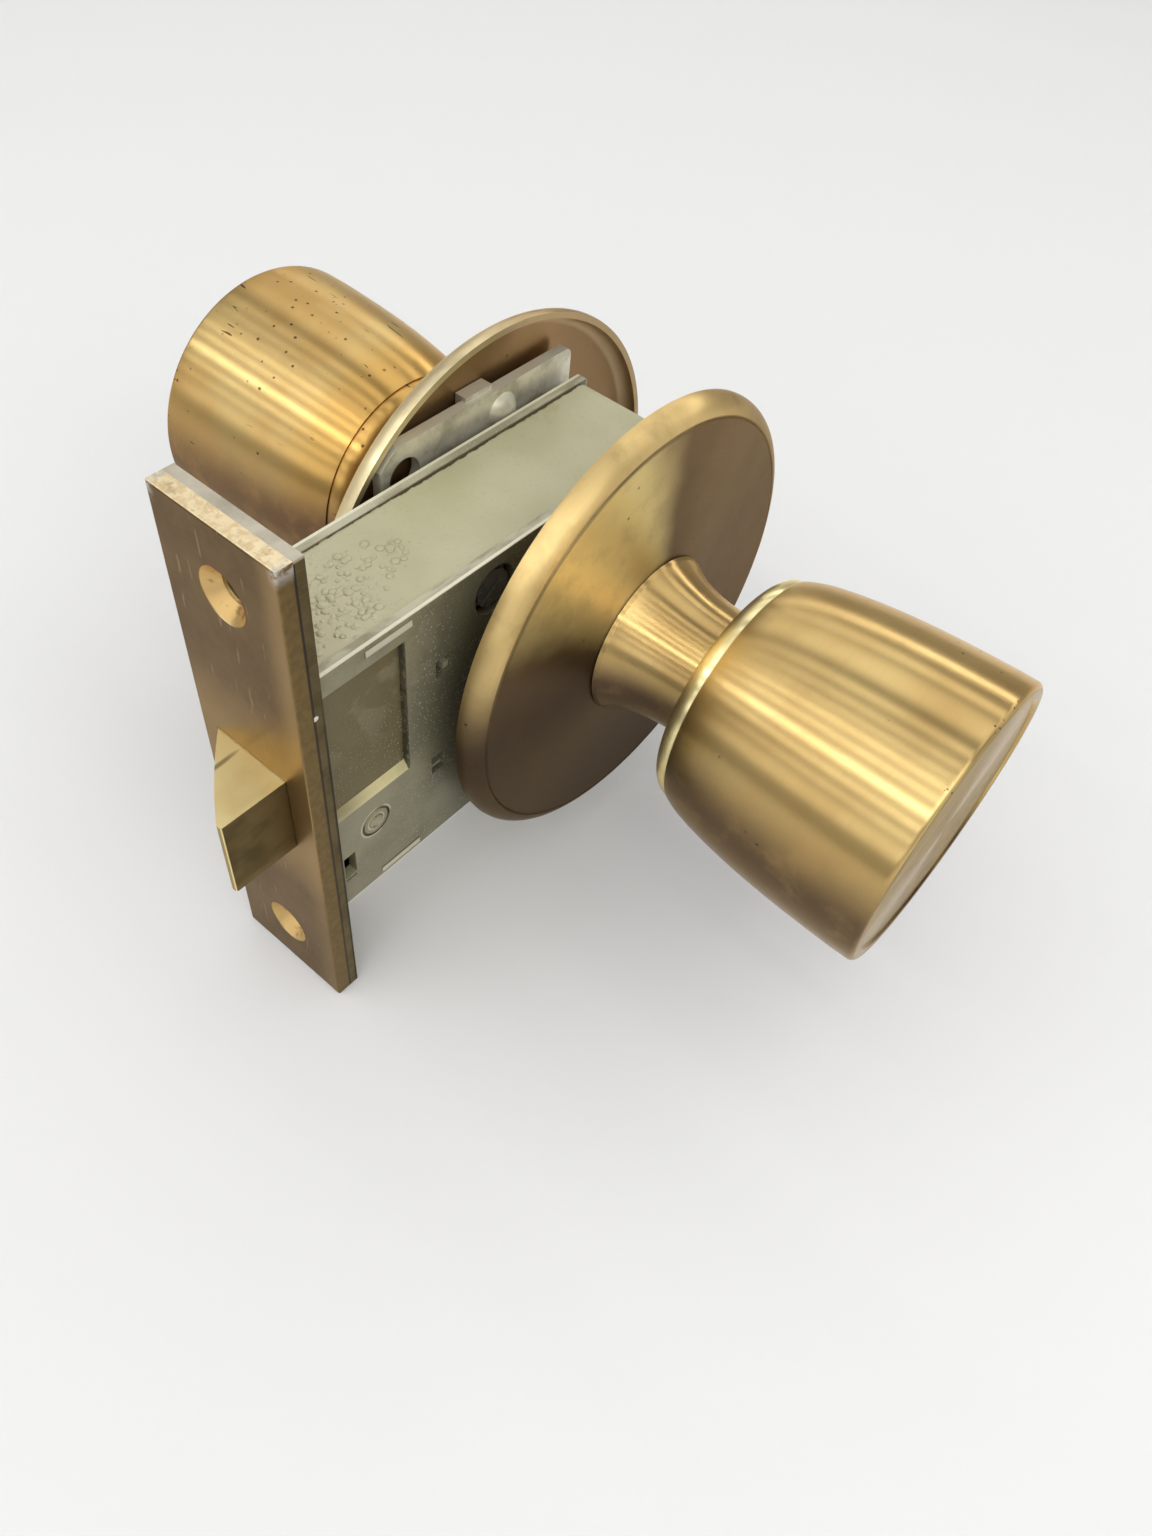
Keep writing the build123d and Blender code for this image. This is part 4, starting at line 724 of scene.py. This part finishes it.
def flowing(points, start, finish, steps):
    """A smooth line through three points, with its direction given at both ends."""
    spans = [math.dist(points[0], points[1]), math.dist(points[1], points[2])]
    start = [v / math.hypot(*start) for v in start]
    finish = [v / math.hypot(*finish) for v in finish]
    middle = []
    for k in (0, 1):
        right = 3 * ((points[1][k] - points[0][k]) / spans[0] ** 2
                     + (points[2][k] - points[1][k]) / spans[1] ** 2)
        right -= start[k] / spans[0] + finish[k] / spans[1]
        middle.append(right / (2 / spans[0] + 2 / spans[1]))
    slopes = [start, middle, finish]
    line = []
    for part in (0, 1):
        for i in range(steps + (part == 1)):
            t = i / steps
            h = (2 * t**3 - 3 * t**2 + 1, t**3 - 2 * t**2 + t, 3 * t**2 - 2 * t**3, t**3 - t**2)
            line.append(tuple(
                h[0] * points[part][k] + h[2] * points[part + 1][k]
                + spans[part] * (h[1] * slopes[part][k] + h[3] * slopes[part + 1][k]) for k in (0, 1)))
    return line


def profile_mesh(name, outline, seam, away):
    """The closed outline, given as (distance from the seam, radius), on its side of the case."""
    points = [p for i, p in enumerate(outline) if i == 0 or math.dist(p, outline[i - 1]) > 1e-4]
    points = points + [points[0]]
    if away > 0:
        points = points[::-1]
    mesh = bpy.data.meshes.new(name)
    mesh.from_pydata([((seam + away * d) * mm, r * mm, 0) for d, r in points],
                     [(i, i + 1) for i in range(len(points) - 1)], [])
    return mesh


def rose_outline():
    """Rolled rim, crease and slightly hollow face, then the same wall inside."""
    middle_radius = 0.5 * (rose_face_radius + rose_foot_radius)
    face_rise = 0.55
    crease = (rose_roll + 0.05, rose_face_radius)
    inner_face = rose_depth - rose_wall
    inner_roll = (rose_roll - rose_wall, rose_face_radius)
    return (
        arc((0, rose_radius), (0.55 * rose_roll, rose_radius - 0.3),
            (rose_roll, rose_face_radius + 0.6), 22)
        + [(rose_roll - 0.25, rose_face_radius + 0.3), crease]
        + arc(crease, (rose_roll + face_rise, middle_radius), (rose_depth, rose_foot_radius), 26)
        + [(rose_depth, rose_bore_radius), (inner_face, rose_bore_radius)]
        + arc((inner_face, rose_foot_radius), (rose_roll + face_rise - rose_wall, middle_radius),
              inner_roll, 20)
        + arc(inner_roll, (0.4 * rose_roll, rose_radius - 0.2 - rose_wall),
              (0, rose_radius - rose_wall), 12)
    )


def knob_outline():
    """The shell's outside from the seam to the rim, the sunk end face, and the wall inside."""
    end_start = knob_length - knob_end_band
    sunk = knob_length - knob_recess
    corner = [(knob_length - knob_edge + knob_edge * math.sin(math.radians(a)),
               knob_rim_radius + knob_edge * math.cos(math.radians(a))) for a in range(0, 91, 9)]
    return (
        flowing([(0, knob_seam_radius), (knob_shoulder_depth, knob_shoulder_radius),
                 (end_start, knob_end_radius)], (1, 0.5), (1, 0.03), 20)
        + corner
        + [(knob_length, knob_rim_radius - knob_rim),
           (sunk, knob_rim_radius - knob_rim - knob_recess), (sunk, 0)]
        + [(sunk - knob_wall, 0), (sunk - knob_wall, knob_end_radius - knob_wall)]
        + flowing([(end_start, knob_end_radius - knob_wall),
                   (knob_shoulder_depth, knob_shoulder_radius - knob_wall),
                   (0, knob_seam_radius - knob_wall)], (-1, -0.03), (-1, -0.5), 12)
    )


turned = turned_tree()


def turned_piece(name, outline, seam, away, finish, body, node, steps):
    values = {"Steps": steps, "Centre X": axis_x * mm, "Centre Z": axis_z * mm,
              "Crease": math.radians(24), "Finish": finish}
    piece = grow(name, profile_mesh(name + ".profile", outline, seam, away), turned, values, body)
    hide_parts(node)
    return piece


def turned_rose(name, mouth, away, finish, node):
    """A rose whose hollow side and bore keep a dull brown finish."""
    piece = turned_piece(name, rose_outline(), mouth, away, finish, "case", node, 224)
    piece.data.materials.append(rose_inside)
    for face in piece.data.polygons:
        radius = math.hypot(face.center.x / mm - axis_x, face.center.z / mm - axis_z)
        facing = face.normal.y * away
        behind_rim = rose_bore_radius + 0.3 < radius < rose_radius - 0.9
        if facing < -0.25 or (behind_rim and facing < 0.05):
            face.material_index = 1


turned_piece("front_knob_turned", knob_outline(), front_seam, -1, satin_knob, "knobs",
             "front_knob_shell", 192)
turned_piece("rear_knob_turned", knob_outline(), rear_seam, 1, pitted_knob, "knobs",
             "rear_knob_shell", 192)
turned_rose("front_rose_turned", front_rose_mouth, -1, satin_rose, "front_rose")
turned_rose("rear_rose_turned", rear_rose_mouth, 1, worn_rose, "rear_rose")


def spring_tree():
    """A round wire wound on each given point, towards the rear."""
    t = Tree("coil spring", {
        "Turns": "Float", "Coil Radius": "Float", "Wire": "Float", "Length": "Float",
        "Finish": "Material"})
    helix = t.add("GeometryNodeCurveSpiral", {
        "Resolution": 28, "Rotations": t.input("Turns"), "Start Radius": t.input("Coil Radius"),
        "End Radius": t.input("Coil Radius"), "Height": t.input("Length")}).outputs[0]
    section = t.add("GeometryNodeCurvePrimitiveCircle", {"Resolution": 10, "Radius": t.input("Wire")})
    wire = t.add("GeometryNodeCurveToMesh", {0: helix, 1: section.outputs[0], "Fill Caps": True})
    lying = t.add("GeometryNodeTransform", {
        "Geometry": wire.outputs[0], "Rotation": (0.0, math.radians(90), 0.0)})
    coils = t.add("GeometryNodeInstanceOnPoints", {
        "Points": t.input("Geometry"), "Instance": lying.outputs[0]})
    t.close(t.smooth(t.real(coils.outputs[0])))
    return t


wound = spring_tree()


def coil_springs(name, starts, length, radius, wire_radius, turns, body, node):
    """Springs between a moving end and a fixed end."""
    mesh = bpy.data.meshes.new(name + ".starts")
    mesh.from_pydata([(x * mm, y * mm, z * mm) for x, y, z in starts], [], [])
    piece = grow(name, mesh, wound, {
        "Turns": turns, "Coil Radius": radius * mm, "Wire": wire_radius * mm, "Length": length * mm,
        "Finish": spring_steel}, body)
    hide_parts(node)
    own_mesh(piece)


coil_springs("latch_spring_wound", [(8.25, 0.7, latch_z)], length=17.9, radius=4.2, wire_radius=0.42,
             turns=6.0, body="retractor", node="latch_spring")
coil_springs("retractor_springs_wound", [(44.7, 0.0, 23.5), (44.7, 0.0, -21.5)], length=31.2,
             radius=2.6, wire_radius=0.38, turns=8.0, body="case", node="retractor_springs")


def blister_tree():
    """Paint blisters: flat round beads strewn over a face, in sizes between two limits."""
    t = Tree("paint blisters", {
        "Density": "Float", "Seed": "Int", "Smallest": "Float", "Largest": "Float", "Flatness": "Float",
        "Finish": "Material"})
    scatter = t.add("GeometryNodeDistributePointsOnFaces", {
        "Mesh": t.input("Geometry"), "Density": t.input("Density"), "Seed": t.input("Seed")})
    bead = t.add("GeometryNodeMeshIcoSphere", {"Radius": 1.0, "Subdivisions": 2}).outputs["Mesh"]
    size = t.add("FunctionNodeRandomValue", {2: t.input("Smallest"), 3: t.input("Largest")},
                 data_type="FLOAT").outputs[1]
    spread = t.join(size, size, t.times(size, t.input("Flatness")))
    beads = t.add("GeometryNodeInstanceOnPoints", {
        "Points": scatter.outputs["Points"], "Instance": bead, "Scale": spread})
    t.close(t.smooth(t.real(beads.outputs[0])))
    return t


blistered = [(1.0, -8.8), (20.0, -7.0), (31.0, 0.0), (25.0, 6.0), (1.0, 5.0)]
blister_patch = bpy.data.meshes.new("blister.patch")
blister_patch.from_pydata([(x * mm, y * mm, band_top * mm) for x, y in blistered], [],
                          [tuple(range(len(blistered)))])
grow("paint_blisters", blister_patch, blister_tree(), {
    "Density": 5.6e5, "Seed": 7, "Smallest": 0.20 * mm, "Largest": 0.85 * mm, "Flatness": 0.40,
    "Finish": band_paint}, "case")

# A plain pale floor just under the object
floor_reach, floor_level = 3.0, cad_low.z - 0.0004
floor_mesh = bpy.data.meshes.new("floor")
floor_mesh.from_pydata(
    [(x * floor_reach, y * floor_reach, floor_level) for x, y in ((-1, -1), (1, -1), (1, 1), (-1, 1))],
    [], [(0, 1, 2, 3)])
floor = bpy.data.objects.new("floor", floor_mesh)
bpy.context.scene.collection.objects.link(floor)
paper = Finish("floor paper").set(Base_Color=(0.80, 0.80, 0.79), Roughness=0.9, Specular_IOR_Level=0.1)
floor_mesh.materials.append(paper)

# The world is lighter at the horizon than overhead
world = bpy.data.worlds.new("studio")
bpy.context.scene.world = world
world.use_nodes = True
sky = NodeMaker(world.node_tree)
sky.nodes.clear()
upward = sky.split(sky.add("ShaderNodeTexCoord").outputs["Generated"])[2]
ramp = sky.add("ShaderNodeValToRGB", {0: upward})
horizon, overhead = ramp.color_ramp.elements
horizon.position, horizon.color = 0.0, (0.50, 0.50, 0.50, 1)
overhead.position, overhead.color = 0.45, (0.16, 0.16, 0.165, 1)
back = sky.add("ShaderNodeBackground", {"Color": ramp.outputs[0]})
sky.add("ShaderNodeOutputWorld", {0: back.outputs[0]})


def soft_lamp(name, middle, toward, across, distance, width, length, radiance):
    """A flat lamp that faces the middle from a direction, its width lying across."""
    data = bpy.data.lights.new(name, "AREA")
    data.shape = "RECTANGLE"
    data.size, data.size_y = width, length
    data.energy = radiance * math.pi * width * length
    lamp = bpy.data.objects.new(name, data)
    bpy.context.scene.collection.objects.link(lamp)
    turn = Matrix((across, toward.cross(across), toward)).transposed().to_4x4()
    lamp.matrix_world = Matrix.Translation(middle + toward * distance) @ turn


# Long lamps parallel to the knob axis: angle over the X axis, width and brightness
tube_length = 2.2
for number, (angle, width, radiance) in enumerate((
        (25, 0.045, 7.5), (43, 0.12, 1.9), (62, 0.34, 1.2), (83, 0.07, 2.4), (94, 0.05, 2.8),
        (103, 0.04, 3.4), (111, 0.04, 5.5), (120, 0.04, 5.5), (131, 0.05, 8.5), (142, 0.05, 4.0),
        (152, 0.08, 2.0), (164, 0.20, 1.15))):
    toward = Vector((math.cos(math.radians(angle)), 0, math.sin(math.radians(angle))))
    soft_lamp("tube %d" % number, Vector((0.05, 0.05, 0.0)), toward, Vector((0, 1, 0)).cross(toward),
              1.0, width, tube_length, radiance)

# A broad soft lamp on the front knob's side
toward = Vector((-0.15, -0.80, 0.58)).normalized()
soft_lamp("front panel", Vector((0.05, 0, 0)), toward, Vector((0, 0, 1)).cross(toward).normalized(),
          1.2, 0.9, 0.5, 2.2)

bpy.context.scene.view_settings.view_transform = "Standard"
